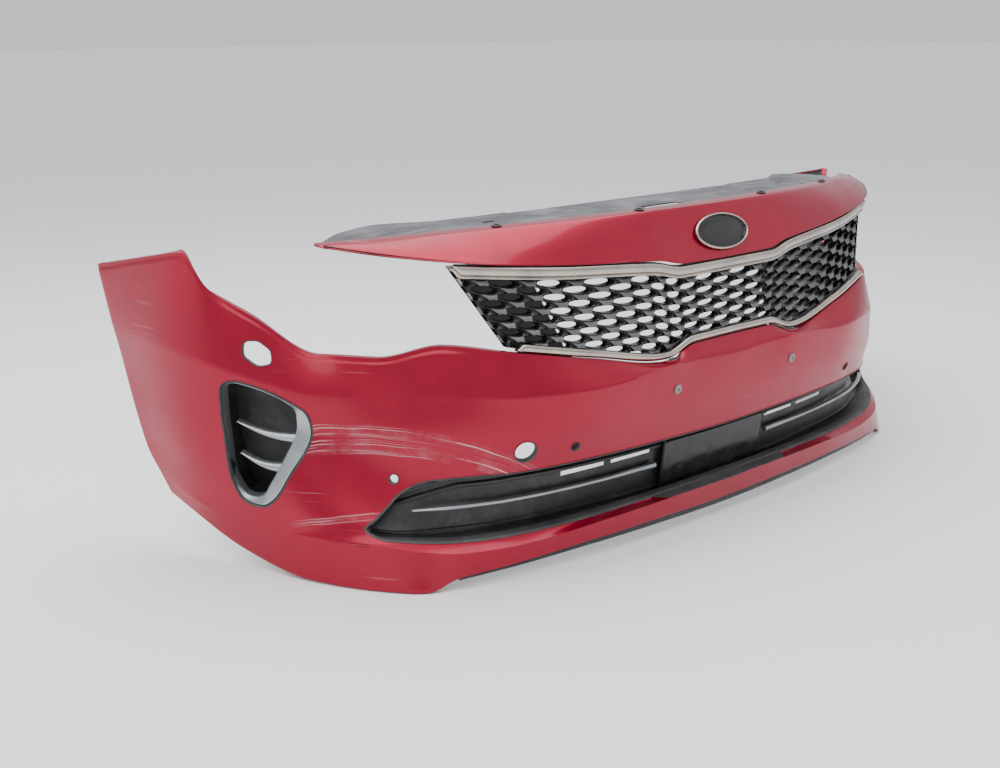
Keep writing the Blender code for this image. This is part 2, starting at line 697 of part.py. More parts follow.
def build_vent(side, home, cutters):
    tag = "left" if side < 0 else "right"
    at = vent_matrix(side)
    patch = corner_patch(side)
    out = np.array(at.col[2][:3]) * .10
    outside = vent_outline(side, HOUSING_FIT + SHEET)
    housing = prism("vent_housing_" + tag, outside, -HOUSING_DEEP, .04, home, at)
    cut(housing, slab("vent_front_" + tag, inset(patch, SKIN + HOUSING_CLEAR), patch + out, cutters))
    hollow = vent_outline(side, HOUSING_FIT)
    cut(housing, prism("vent_hollow_" + tag, hollow, SHEET - HOUSING_DEEP, .05, cutters, at))
    trim = prism("vent_trim_" + tag, vent_outline(side, -VENT_FIT), -.05, .05, home, at)
    layer = slab("vent_layer_" + tag, inset(patch, .0075), inset(patch, .0010), cutters)
    cut(trim, layer).operation = "INTERSECT"
    cut(trim, prism("vent_comb_" + tag, fin_opening(side), -.06, .06, cutters, at))
    return housing, trim


def build_holder(name, x, z, home, cutters):
    at = on_cover(x, z)
    seat = SENSOR_BORE / 2 + SENSOR_SEAT
    body = rod(name, seat + SENSOR_WALL, -SENSOR_DEEP, -SKIN - SENSOR_CLEAR, home, at)
    cut(body, rod(name + "_bore", seat, -.05, .05, cutters, at))
    return body


def build_insert(name, x, z, home):
    head = INSERT_HEAD / 2
    shank = INSERT_SHANK / 2
    seat = GAP + .0001
    profile = ((0, seat + .0022), (head - .002, seat + .0022), (head, seat + .0010), (head, seat),
               (shank, seat), (shank, -INSERT_LONG), (0, -INSERT_LONG))
    return turned(name, home, profile, on_cover(x, z), 16)


# ---- assembly --------------------------------------------------------------
def main():
    for item in list(bpy.data.objects):
        bpy.data.objects.remove(item, do_unlink=True)
    scene = bpy.context.scene.collection
    parts = bpy.data.collections.new("bumper_cover_assembly")
    cutters = bpy.data.collections.new("cutters")
    scene.children.link(parts)
    scene.children.link(cutters)
    red = material("red_paint", (.42, .015, .035), .30, .35)
    black = material("black_plastic", (.012, .012, .013), .45)
    grey = material("shield_plastic", (.060, .060, .062), .70)
    chrome = material("chrome_trim", (.75, .72, .68), .12, 1.0)
    satin = material("satin_silver", (.55, .56, .58), .35, 1.0)
    cover = build_cover(parts)
    cut(cover, cover_cutters(cutters))
    dress(cover, red)
    dress(build_shield(parts, cutters), grey)
    dark = build_retainers(parts)
    dark.append(build_grille(parts, cutters))
    for trim in build_trims(parts):
        dress(trim, chrome)
    base, ring = build_badge(parts, cutters)
    dress(ring, chrome)
    dark += [base, build_lower_grille(parts, cutters), build_centre_panel(parts), build_lip(parts)]
    for side, tag in ((-1, "left"), (1, "right")):
        dress(build_blade(side, parts), satin)
        housing, trim = build_vent(side, parts, cutters)
        dark.append(housing)
        dress(trim, satin)
        x, z = PLATE_PLACE
        dress(build_insert("plate_insert_" + tag, side * x, z, parts), grey)
        for where, (x, z) in zip(("inner", "outer"), SENSOR_PLACES):
            dark.append(build_holder("sensor_%s_%s" % (where, tag), side * x, z, parts, cutters))
    for body in dark:
        dress(body, black)
    for tool in cutters.objects:
        tool.hide_render = True
        tool.display_type = "WIRE"
    centre(parts)


def centre(parts):
    """Origin at the bottom centre of the whole part."""
    bpy.context.view_layer.update()
    graph = bpy.context.evaluated_depsgraph_get()
    points = []
    for body in parts.objects:
        shape = body.evaluated_get(graph)
        points += [shape.matrix_world @ v.co for v in shape.data.vertices]
    low = Vector([min(p[k] for p in points) for k in range(3)])
    high = Vector([max(p[k] for p in points) for k in range(3)])
    shift = Vector((-(low.x + high.x) / 2, -(low.y + high.y) / 2, -low.z))
    for body in bpy.data.objects:
        body.location += shift
    print("moved by", shift, "overall size", high - low)


main()
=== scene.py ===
import math

import bmesh
import bpy
import numpy as np
from mathutils import Matrix, Vector
from mathutils.bvhtree import BVHTree


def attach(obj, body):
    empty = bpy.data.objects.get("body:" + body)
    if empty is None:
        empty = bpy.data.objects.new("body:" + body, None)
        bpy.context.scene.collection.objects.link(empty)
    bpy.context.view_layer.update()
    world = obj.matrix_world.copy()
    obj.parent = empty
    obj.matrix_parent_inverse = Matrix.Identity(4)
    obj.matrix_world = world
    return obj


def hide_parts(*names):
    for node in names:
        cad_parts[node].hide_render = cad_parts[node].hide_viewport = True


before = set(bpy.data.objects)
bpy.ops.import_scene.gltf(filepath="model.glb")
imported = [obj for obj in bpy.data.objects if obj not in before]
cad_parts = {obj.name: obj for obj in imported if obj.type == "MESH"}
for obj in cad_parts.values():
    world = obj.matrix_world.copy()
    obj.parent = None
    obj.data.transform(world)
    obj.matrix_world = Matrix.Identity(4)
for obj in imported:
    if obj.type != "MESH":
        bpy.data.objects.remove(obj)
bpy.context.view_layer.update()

# ---- sizes, in metres
UNIT = 0.910              # metres for one unit of the rails below
ORIGIN = np.array([0.0, -0.3343, 0.0006])   # the rails' own origin in the frame
SKIN = 0.003
SHEET = 0.0025
EDGE_RADIUS = 0.003       # rolled edge of the painted skin
EDGE_DEEP = 0.011         # how far the rolled edge runs inward
LAMP_FLANGE = 0.009       # width of the lowered strip along the lamp and the wing
LAMP_STEP = 0.0013
TURNED_STEPS = 40         # sides of a turned piece
# the points round a rolled edge, as (onward, inward) shares of its radius
ROLL = [(math.sin(t), 1 - math.cos(t)) for t in map(math.radians, (0, 22, 45, 68, 90))]
WING_END = 1.07           # last station of the skin, the header strip and the sight shield
STRIP_END = 0.77
SHIELD_END = 0.745
TOW_HOLE = 0.019          # radii of the round holes
SENSOR_HOLE = 0.008
INSERT_HOLE = 0.0048
RETAINER_HOLE = 0.004
GRILLE_INSET = 0.004
GRILLE_BACK = 0.011       # how far the lattice sits behind the header line
GRILLE_LEAN = 0.007       # how much further back it is at the sill
GRILLE_END = 0.985        # last column of the lattice's frame, as a share of the opening's half width
CELL_PITCH = 0.078        # column to column, as a share of the opening's half width
CELL_STEP = 0.0234        # cell to cell down a column
CELL_FIRST = 0.030        # header line to the first cell of an odd column
TRIM_LIFT = 0.0010        # upper trim below the header line, lower trim above the sill
BADGE_WIDE = 0.138
BADGE_HIGH = 0.068
LENS = 44.19              # millimetres
CAMERA_AT = (-1.7068, -1.6801, .8766)
CAMERA_TURN = -40.07      # degrees about the upright, then down, then about the line of sight
CAMERA_DOWN = 16.19
CAMERA_ROLL = -0.43
SIDES = ((-1, "left"), (1, "right"))

# ---- rails: (width, depth, height) of the right half, centre first
STATIONS = (0, .115, .19, .36, .52, .62, .70, .77, .84, .90, .96, 1.07)
COVER = (
    # bottom edge
    ((0, .030, .033), (.115, .031, .034), (.19, .033, .035), (.36, .045, .034),
     (.52, .070, .027), (.64, .100, .020), (.70, .125, .000), (.76, .190, .000),
     (.83, .310, .002), (.88, .450, .030), (.912, .545, .070), (.933, .632, .105)),
    # lip crease
    ((0, .022, .078), (.115, .023, .077), (.19, .026, .076), (.36, .040, .071),
     (.52, .066, .064), (.63, .100, .066), (.70, .145, .074), (.765, .215, .085),
     (.835, .325, .085), (.885, .450, .090), (.920, .548, .110), (.941, .652, .140)),
    # behind the lip
    ((0, .050, .072), (.115, .050, .072), (.19, .052, .072), (.36, .062, .078),
     (.52, .085, .083), (.625, .122, .088), (.70, .167, .093), (.757, .222, .105),
     (.835, .330, .112), (.887, .450, .122), (.924, .552, .145), (.951, .678, .185)),
    # above the intake
    ((0, .035, .185), (.115, .036, .186), (.19, .038, .187), (.36, .050, .190),
     (.52, .082, .192), (.62, .137, .188), (.70, .208, .178), (.765, .275, .175),
     (.840, .355, .180), (.892, .455, .190), (.935, .555, .215), (.958, .700, .250)),
    # plate height
    ((0, .018, .280), (.115, .018, .280), (.19, .019, .280), (.36, .026, .275),
     (.52, .062, .270), (.63, .140, .270), (.71, .235, .270), (.775, .325, .275),
     (.850, .400, .285), (.905, .470, .305), (.945, .560, .330), (.970, .718, .360)),
    # belt and shoulder crease
    ((0, .015, .345), (.115, .016, .350), (.19, .012, .352), (.36, .018, .341),
     (.52, .062, .341), (.62, .145, .345), (.70, .240, .338), (.78, .330, .338),
     (.855, .402, .362), (.910, .462, .385), (.952, .550, .410), (.983, .721, .435)),
    # top edge: grille sill, lamp cut-out, wing
    ((0, .035, .376), (.112, .033, .376), (.189, .032, .355), (.36, .050, .385),
     (.522, .088, .417), (.62, .175, .430), (.70, .262, .405), (.76, .345, .405),
     (.84, .420, .470), (.90, .480, .525), (.94, .494, .591), (1.0, .722, .547)),
)
STRIP_STATIONS = (0, .125, .191, .36, .52, .62, .70, .77)
STRIP = (
    # edge along the upper chrome trim
    ((0, .050, .529), (.125, .051, .530), (.191, .057, .542), (.36, .082, .553),
     (.52, .120, .567), (.62, .158, .580), (.70, .219, .592), (.765, .308, .603)),
    # badge height
    ((0, .079, .583), (.125, .081, .583), (.191, .084, .589), (.36, .105, .595),
     (.52, .148, .598), (.625, .189, .601), (.703, .241, .603), (.768, .316, .605)),
    # seam with the sight shield
    ((0, .100, .630), (.125, .103, .630), (.191, .108, .630), (.36, .134, .627),
     (.52, .186, .622), (.62, .230, .617), (.70, .275, .612), (.770, .330, .607)),
    # rear edge of the flange
    ((0, .132, .630), (.125, .135, .630), (.191, .140, .630), (.36, .166, .627),
     (.52, .217, .622), (.62, .257, .617), (.695, .295, .612), (.762, .342, .607)),
)
SHIELD_STATIONS = (0, .125, .191, .36, .52, .62, .70, .745)
SHIELD = (
    ((0, .106, .6240), (.125, .109, .6240), (.191, .114, .6240), (.36, .140, .6210),
     (.52, .191, .6160), (.62, .235, .6110), (.690, .283, .6055), (.722, .310, .6005)),
    ((0, .139, .6240), (.125, .142, .6240), (.191, .147, .6240), (.36, .173, .6210),
     (.52, .223, .6160), (.62, .262, .6110), (.690, .304, .6055), (.724, .325, .6010)),
    ((0, .165, .6180), (.125, .168, .6180), (.191, .173, .6180), (.36, .200, .6180),
     (.52, .250, .6150), (.61, .290, .6100), (.690, .325, .6050), (.728, .342, .6020)),
    ((0, .338, .6180), (.125, .338, .6180), (.191, .338, .6180), (.36, .340, .6180),
     (.49, .352, .6170), (.60, .410, .6130), (.67, .400, .6090), (.735, .362, .6030)),
)
OPENING_STATIONS = (0, .2, .36, .68, 1.0)
SILL = ((0, .035, .378), (.112, .033, .378), (.189, .032, .357), (.36, .050, .387), (.518, .087, .418))
HEADER = ((0, .050, .5275), (.130, .051, .5275), (.205, .058, .541), (.42, .095, .556), (.606, .155, .574))
INTAKE = ((0, .080), (.18, .080), (.36, .080), (.52, .081), (.612, .083), (.677, .087), (.717, .091),
          (.743, .095), (.755, .105), (.736, .123), (.715, .144), (.698, .163), (.668, .184), (.62, .193),
          (.52, .195), (.36, .196), (.19, .194), (0, .191))
AIR_SLOTS = ((.178, .282), (.298, .402))    # inner and outer end of each slot in the intake's pan
AIR_SLOT_HEIGHTS = (.1420, .1520)
VENT_POINT = (.851, .400, .240)
VENT_OUT = (.762, -.647, 0)
VENT_RIM = ((-.066, .103), (-.046, .110), (-.025, .106), (.048, .074), (.071, .058), (.080, .031),
            (.045, -.046), (.014, -.091), (-.001, -.101), (-.020, -.102), (-.044, -.094), (-.054, -.080),
            (-.070, .016), (-.072, .068))
VENT_MOUTH = ((-.0625, .0985), (-.0450, .1060), (-.0235, .1015), (.034, .0740), (.049, .061), (.053, .036),
              (.032, -.020), (.006, -.066), (-.005, -.083), (-.019, -.089), (-.0395, -.0860),
              (-.0500, -.0740), (-.0662, .016), (-.0682, .067))
VENT_FINS = (((.054, .012), (-.050, .037)), ((.030, -.036), (-.046, -.017)))    # root and tip of each
FIN_THICK = 0.0150
WASHER = ((-.023, .020), (.001, .021), (.022, .004), (.023, -.018), (-.001, -.022), (-.025, -.004))
WASHER_CORNER = 0.008
WASHER_PLACE = (.849, .411)
SENSOR_PLACES = (("inner", .415, .231), ("outer", .700, .192))
PLATE_PLACE = (.177, .300)
TOW_PLACE = (-.517, .238)
RETAINER_PLACES = (.182, .480)
SLOT_PLACE = (.430, .270)
BOLT_SLOT = ((-.012, -.0045), (.012, -.0045), (.012, .0045), (-.012, .0045))
LATCH_PLACE = (-.02, .205)
LATCH = ((-.050, -.018), (.030, -.018), (.030, -.006), (.050, -.006), (.050, .018), (-.050, .018))
UPRIGHT = Matrix.Translation(ORIGIN) @ Matrix.Rotation(math.radians(90), 4, "X")


# ---- curves and surfaces
def hermite(t, start, leave, end, arrive):
    """Cubic from start to end as t goes from 0 to 1, with these slopes at its ends."""
    return ((2 * t ** 3 - 3 * t ** 2 + 1) * start + (t ** 3 - 2 * t ** 2 + t) * leave
            + (3 * t ** 2 - 2 * t ** 3) * end + (t ** 3 - t ** 2) * arrive)


def spline(knots, values, at, creases=()):
    """Cubic through the values that never overshoots; corners at the creases."""
    knots = np.array(knots, float)
    values = np.array(values, float)
    step = np.diff(values, axis=0) / np.diff(knots)[:, None]
    same = step[:-1] * step[1:] > 0
    total = np.where(same, step[:-1] + step[1:], 1.0)
    slope = np.concatenate([step[:1], np.where(same, 2 * step[:-1] * step[1:] / total, 0.0), step[-1:]])
    leave = slope[:-1].copy()
    arrive = slope[1:].copy()
    for k in creases:
        leave[k] = 0.3 * leave[k] + 0.7 * step[k]
        arrive[k - 1] = 0.3 * arrive[k - 1] + 0.7 * step[k - 1]
    at = np.clip(np.array(at, float), knots[0], knots[-1])
    i = np.clip(np.searchsorted(knots, at, side="right") - 1, 0, len(knots) - 2)
    wide = (knots[i + 1] - knots[i])[:, None]
    t = ((at - knots[i])[:, None]) / wide
    return hermite(t, values[i], wide * leave[i], values[i + 1], wide * arrive[i])


def full(stations, rail):
    """A rail of the right half made into one across the whole width."""
    left = [(-x, y, z) for x, y, z in reversed(rail[1:])]
    knots = [-s for s in reversed(stations[1:])] + list(stations)
    return np.array(knots), np.array(left + list(rail), float)


def surface(stations, rails, across, up, creases=()):
    """Points [row, column] of the surface carried by the rails, in the frame."""
    lines = np.array([spline(*full(stations, rail), across) for rail in rails])
    grid = np.empty((len(up), len(across), 3))
    for j in range(len(across)):
        grid[:, j] = spline(np.arange(len(rails)), lines[:, j], up, creases)
    return grid * UNIT + ORIGIN


def relax(grid, times, firm):
    """Evens the grid out, less where firm is near 1, so that reflections run smoothly."""
    loose = (1 - firm)[..., None]
    for _ in range(times):
        near = grid.copy()
        near[1:-1] = (grid[:-2] + grid[2:]) / 2
        beside = grid.copy()
        beside[:, 1:-1] = (grid[:, :-2] + grid[:, 2:]) / 2
        grid = grid + loose * 0.5 * ((near + beside) / 2 - grid)
    return grid


def normals(grid):
    out = np.cross(np.gradient(grid, axis=1), np.gradient(grid, axis=0))
    return out / np.linalg.norm(out, axis=2)[..., None]


def place(x, y, z):
    return Vector((x, y, z)) * UNIT + Vector(ORIGIN)


def closed_curve(points, per=8):
    """Smooth closed loop through these points, with per points from one to the next."""
    pts = np.array(points, float)
    n = len(pts)
    gaps = np.linalg.norm(np.roll(pts, -1, axis=0) - pts, axis=1)
    out = []
    for k in range(n):
        a, b, c, d = (pts[(k + m) % n] for m in (-1, 0, 1, 2))
        before, here, after = (gaps[(k + m) % n] for m in (-1, 0, 1))
        leave = ((b - a) / before * here + (c - b) / here * before) / (before + here) * here
        arrive = ((c - b) / here * after + (d - c) / after * here) / (here + after) * here
        out += [hermite(t, b, leave, c, arrive) for t in np.arange(per) / per]
    return np.array(out)


def rounded(points, reach):
    """The polygon with each corner rounded from this distance before it to this distance after it."""
    pts = np.array(points, float)
    out = []
    for k, corner in enumerate(pts):
        before = pts[k - 1] - corner
        after = pts[(k + 1) % len(pts)] - corner
        start = before / np.linalg.norm(before) * reach
        end = after / np.linalg.norm(after) * reach
        for t in np.linspace(0, 1, 6):
            out.append(corner + start * (1 - t) ** 2 + end * t ** 2)
    return np.array(out)


def swept(places, shapes):
    """Rings of a bar: round each place, the (depth, height) outline that belongs to it."""
    return [[point + (0, dy, dz) for dy, dz in shape] for point, shape in zip(places, shapes)]


def facing(point, outward, upward=Vector((0, 0, 1))):
    """Matrix with local Z along outward and local Y nearest to upward."""
    z = Vector(outward).normalized()
    x = Vector(upward).cross(z).normalized()
    m = Matrix((x, z.cross(x), z)).transposed().to_4x4()
    m.translation = Vector(point)
    return m


# ---- meshes
def linked(name, data):
    made = bpy.data.objects.new(name, data)
    bpy.context.scene.collection.objects.link(made)
    return made


def new_object(name, bm, mats):
    mesh = bpy.data.meshes.new(name)
    for mat in mats:
        mesh.materials.append(mat)
    bm.to_mesh(mesh)
    bm.free()
    return linked(name, mesh)


def add_grid(bm, grid, closed=False):
    """Quads between the rows of a grid; closed joins its last column to its first."""
    rows = [[None if np.isnan(p[0]) else bm.verts.new(p) for p in row] for row in grid]
    count = len(rows[0]) if closed else len(rows[0]) - 1
    for a, b in zip(rows[:-1], rows[1:]):
        for j in range(count):
            m = (j + 1) % len(a)
            corners = (a[j], a[m], b[m], b[j])
            if None not in corners:
                bm.faces.new(corners)
    return rows


def modified(body, kind, **settings):
    """Applies one modifier to the body."""
    mod = body.modifiers.new(kind, kind)
    for key, value in settings.items():
        setattr(mod, key, value)
    graph = bpy.context.evaluated_depsgraph_get()
    mesh = bpy.data.meshes.new_from_object(body.evaluated_get(graph))
    body.modifiers.clear()
    body.data = mesh


def wall(body, thickness, inner_slot=0):
    """Thickness on the inner side of an open surface."""
    modified(body, "SOLIDIFY", thickness=thickness, offset=-1.0, use_quality_normals=True,
             material_offset=inner_slot)


def sheet(name, grid, thickness, mats):
    bm = bmesh.new()
    add_grid(bm, grid)
    body = new_object(name, bm, mats)
    wall(body, thickness, len(mats) - 1)
    return body


def bar(name, rings, mats):
    """Closed bar through rings of one count, with flat ends."""
    bm = bmesh.new()
    rows = add_grid(bm, rings, closed=True)
    bm.faces.new(rows[0])
    bm.faces.new(rows[-1])
    bmesh.ops.recalc_face_normals(bm, faces=bm.faces)
    return new_object(name, bm, mats)


def hoop(name, rings, mats):
    """Closed tube whose rings go round and come back to the first."""
    bm = bmesh.new()
    add_grid(bm, list(rings) + [rings[0]], closed=True)
    bmesh.ops.remove_doubles(bm, verts=bm.verts, dist=0.000001)
    bmesh.ops.recalc_face_normals(bm, faces=bm.faces)
    return new_object(name, bm, mats)


def turned(name, profile, matrix, mats, closed=False):
    """Profile of (radius, height) about local Z; closed joins its last point to its first."""
    bm = bmesh.new()
    points = [bm.verts.new((radius, 0, height)) for radius, height in profile]
    for a, b in zip(points, points[1:] + points[:1] if closed else points[1:]):
        bm.edges.new((a, b))
    bmesh.ops.spin(bm, geom=bm.verts[:] + bm.edges[:], axis=(0, 0, 1), cent=(0, 0, 0),
                   angle=2 * math.pi, steps=TURNED_STEPS, use_merge=True)
    bmesh.ops.remove_doubles(bm, verts=bm.verts, dist=0.00001)
    bmesh.ops.recalc_face_normals(bm, faces=bm.faces)
    bm.transform(matrix)
    return new_object(name, bm, mats)


def prism(loop, low, high, matrix):
    """Cutter: a loop in the local XY plane, drawn out along local Z."""
    bm = bmesh.new()
    face = bm.faces.new([bm.verts.new((x, y, low)) for x, y in loop])
    drawn = bmesh.ops.extrude_face_region(bm, geom=[face])["geom"]
    ends = [item for item in drawn if isinstance(item, bmesh.types.BMVert)]
    bmesh.ops.translate(bm, verts=ends, vec=(0, 0, high - low))
    bmesh.ops.recalc_face_normals(bm, faces=bm.faces)
    bm.transform(matrix)
    return new_object("cutter", bm, ())


def circle(radius, count=48):
    turns = [2 * math.pi * k / count for k in range(count)]
    return np.array([(radius * math.cos(t), radius * math.sin(t)) for t in turns])


def oval(wide, high, count=96):
    return circle(0.5, count) * (wide, high)


def mirrored(loop, side):
    """A loop written with X forward, as it lies on the left (-1) or right (1) corner."""
    return np.array(loop, float) * (-side, 1)


def grown(loop, amount):
    """The loop moved outward by this amount along its own normals."""
    loop = np.array(loop, float)
    along = np.roll(loop, -1, axis=0) - np.roll(loop, 1, axis=0)
    out = np.stack([along[:, 1], -along[:, 0]], axis=1)
    out /= np.linalg.norm(out, axis=1)[:, None]
    after = np.roll(loop, -1, axis=0)
    area = np.sum(loop[:, 0] * after[:, 1] - after[:, 0] * loop[:, 1])
    return loop + out * amount * np.sign(area)


def cut(body, cutters):
    """Takes the cutters, which do not touch each other, out of the body."""
    bm = bmesh.new()
    for cutter in cutters:
        bm.from_mesh(cutter.data)
        bpy.data.objects.remove(cutter)
    tool = new_object("cutter", bm, ())
    modified(body, "BOOLEAN", operation="DIFFERENCE", solver="EXACT", object=tool)
    bpy.data.objects.remove(tool)


def dress(body, nodes=(), angle=35, ride="cover"):
    """Last step for a piece: its shading, body and the nodes it stands for."""
    body.data.shade_smooth()
    body.data.set_sharp_from_angle(angle=math.radians(angle))
    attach(body, ride)
    if nodes:
        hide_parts(*nodes)
    return body


def roll_rows(grid, out, radius, deep):
    """Rows that carry the last row of a grid round an inward roll."""
    along = grid[-1] - grid[-2]
    room = np.linalg.norm(along, axis=1)[:, None]
    along = along / room
    radius = np.minimum(radius, 0.8 * room)
    start = grid[-1] - along * radius
    rows = []
    for onward, inward in ROLL:
        rows.append(start + along * radius * onward - out * radius * inward)
    rows += [rows[-1] - out * deep * share for share in (0.5, 1)]
    return np.array(rows)


def facing_not(out, axis, sign):
    """The directions with no part of them left towards this sign of the axis."""
    out = out.copy()
    out[:, axis] = np.minimum(out[:, axis] * sign, 0) * sign
    return out / np.linalg.norm(out, axis=1)[:, None]


def rolled(grid, radius, deep, all_round=True):
    """The grid with an inward roll along its first row, and its other three sides if all round."""
    out = normals(grid)
    low = roll_rows(grid[::-1], facing_not(out[0], 2, 1), radius, deep)[::-1]
    if not all_round:
        return np.concatenate([low, grid[1:]])
    top = roll_rows(grid, facing_not(out[-1], 2, 1), radius, deep)
    rows = np.concatenate([low, grid[1:-1], top])
    flip = grid.transpose(1, 0, 2)
    right = roll_rows(flip, facing_not(out[:, -1], 1, -1), radius, deep).transpose(1, 0, 2)
    left = roll_rows(flip[::-1], facing_not(out[:, 0], 1, -1), radius, deep)[::-1].transpose(1, 0, 2)
    spare = len(low) - 1
    wide = right.shape[1]
    full_grid = np.full((rows.shape[0], rows.shape[1] - 2 + 2 * wide, 3), np.nan)
    full_grid[:, wide:-wide] = rows[:, 1:-1]
    full_grid[spare:-spare, :wide] = left
    full_grid[spare:-spare, -wide:] = right
    return full_grid


def counted(counts):
    """Row positions with counts pieces from each rail to the next."""
    rows = [0.0]
    for k, n in enumerate(counts):
        rows += [k + (i + 1) / n for i in range(n)]
    return rows


# ---- materials
class Nodes:
    """A node tree being built: each call adds a node and gives one of its outputs."""

    def __init__(self, tree, where):
        self.tree = tree
        self.where = self.node("ShaderNodeTexCoord", out=where)

    def node(self, kind, inputs=(), out=0, **settings):
        made = self.tree.nodes.new(kind)
        for key, value in settings.items():
            setattr(made, key, value)
        for key, value in inputs:
            self.put(made.inputs[key], value)
        return made.outputs[out]

    def put(self, socket, value):
        if isinstance(value, bpy.types.NodeSocket):
            self.tree.links.new(value, socket)
        else:
            socket.default_value = (*value, 1.0) if socket.type == "RGBA" else value

    def math(self, operation, a, b, clamp=False):
        return self.node("ShaderNodeMath", enumerate((a, b)), operation=operation, use_clamp=clamp)

    def plus(self, a, b):
        return self.math("ADD", a, b)

    def times(self, a, b):
        return self.math("MULTIPLY", a, b)

    def most(self, a, b):
        return self.math("MAXIMUM", a, b)

    def axis(self, which):
        return self.node("ShaderNodeSeparateXYZ", [(0, self.where)], which)

    def joined(self, x, y, z):
        return self.node("ShaderNodeCombineXYZ", enumerate((x, y, z)))

    def noise(self, scale, detail=3.0, rough=0.5, at=None):
        inputs = (("Vector", at or self.where), ("Scale", scale), ("Detail", detail), ("Roughness", rough))
        return self.node("ShaderNodeTexNoise", inputs, "Fac")

    def ramp(self, value, low, high, first=0.0, last=1.0, kind="SMOOTHSTEP"):
        inputs = enumerate((value, low, high, first, last))
        return self.node("ShaderNodeMapRange", inputs, interpolation_type=kind)

    def between(self, value, low, high, soft):
        """1 from low to high, falling to 0 over soft on both sides."""
        return self.times(self.ramp(value, low - soft, low), self.ramp(value, high, high + soft, 1.0, 0.0))

    def mix(self, share, a, b):
        """Colour a to b by this share; 6 and 7 are the node's colour inputs, 2 its colour output."""
        return self.node("ShaderNodeMix", ((0, share), (6, a), (7, b)), 2, data_type="RGBA")


class Shade(Nodes):
    """A material with the Principled shader."""

    def __init__(self, name, colour, rough, metal=0.0, coat=0.0):
        self.mat = bpy.data.materials.new(name)
        self.mat.use_nodes = True
        super().__init__(self.mat.node_tree, "Object")
        self.set("Base Color", colour)
        self.set("Roughness", rough)
        self.set("Metallic", metal)
        self.set("Coat Weight", coat)

    def set(self, name, value):
        self.put(self.tree.nodes["Principled BSDF"].inputs[name], value)

    def bump(self, height, strength, distance):
        inputs = (("Strength", strength), ("Distance", distance), ("Height", height))
        self.set("Normal", self.node("ShaderNodeBump", inputs, "Normal"))


SCRATCH_MIDDLE = -0.652   # where the scratches' arc is highest, and how fast it falls from there
SCRATCH_TOP = 0.2562
SCRATCH_BEND = 1.75
SCRATCH_WANDER = 0.012
SCRATCHES = ((.004, -.72, -.43, .008), (.030, -.73, -.47, .010), (.138, -.74, -.67, .003))


def arc_scratches(shade, x, z, drop, low_x, high_x, thick):
    """Bundle of long scratches that follow the arc over the corner, drop below its top line."""
    away = shade.plus(x, -SCRATCH_MIDDLE)
    arc = shade.times(shade.times(away, away), SCRATCH_BEND)
    height = shade.plus(shade.plus(z, arc), drop - SCRATCH_TOP)
    wander = shade.math("SUBTRACT", shade.noise(9, 2), .5)
    height = shade.plus(height, shade.times(wander, SCRATCH_WANDER))
    line = shade.noise(1, 2, at=shade.joined(shade.times(x, 5), 0.0, shade.times(height, 620)))
    fine = shade.ramp(line, .54, .68, 0.0, .85)
    band = shade.between(height, -thick, thick, .004)
    reach = shade.between(x, low_x, high_x, .03)
    broken = shade.ramp(shade.noise(12, 4), .32, .50)
    haze = shade.ramp(shade.noise(22, 6, .7), .42, .78, .0, .12)
    fine = shade.most(shade.times(fine, broken), haze)
    return shade.times(shade.times(fine, band), reach)


def red_paint():
    """Metallic red with flake and clouding, scratched at the left corner."""
    shade = Shade("red_paint", (.32, .0015, .022), .34, .62, .50)
    shade.set("Coat Roughness", .10)
    shade.set("Coat IOR", 1.45)
    shade.set("Specular IOR Level", .2)
    x = shade.axis(0)
    z = shade.axis(2)
    flake = shade.noise(1800, 2)
    cloud = shade.noise(5, 5, .6)
    colour = shade.mix(shade.ramp(flake, .35, .7), (.27, .001, .020), (.38, .002, .029))
    colour = shade.mix(shade.ramp(cloud, .45, .8, 0.0, .35), colour, (.40, .010, .034))
    marks = 0.0
    for bundle in SCRATCHES:
        marks = shade.most(marks, arc_scratches(shade, x, z, *bundle))
    hair = shade.noise(1, 1, at=shade.joined(shade.times(x, 5), 0.0, shade.times(z, 700)))
    patch = shade.ramp(shade.noise(7, 2), .60, .70)
    hair = shade.times(shade.ramp(hair, .66, .74, 0.0, .5), patch)
    marks = shade.math("MAXIMUM", marks, hair, clamp=True)
    shade.set("Base Color", shade.mix(marks, colour, (.76, .50, .52)))
    dull = shade.ramp(shade.noise(11, 6, .65), .40, .75, .28, .46)
    shade.set("Roughness", shade.math("ADD", dull, shade.times(marks, .3), clamp=True))
    shade.bump(shade.noise(260, 2), .035, .0006)
    return shade.mat


def plastic(name, colour, light, rough, grain, strength, dust=0.0):
    """Moulded plastic: fine grain, uneven gloss, and dust that settles in patches."""
    shade = Shade(name, colour, rough)
    spread = shade.ramp(shade.noise(14, 5, .6), .35, .75)
    base = shade.mix(spread, colour, light)
    if dust:
        grit = shade.times(shade.ramp(shade.noise(40, 6, .7), .45, .75), dust)
        base = shade.mix(grit, base, (.32, .30, .28))
    shade.set("Base Color", base)
    shade.set("Roughness", shade.ramp(shade.noise(30, 4), .3, .7, rough - .07, rough + .09))
    shade.bump(shade.noise(grain, 3), strength, .0004)
    return shade.mat


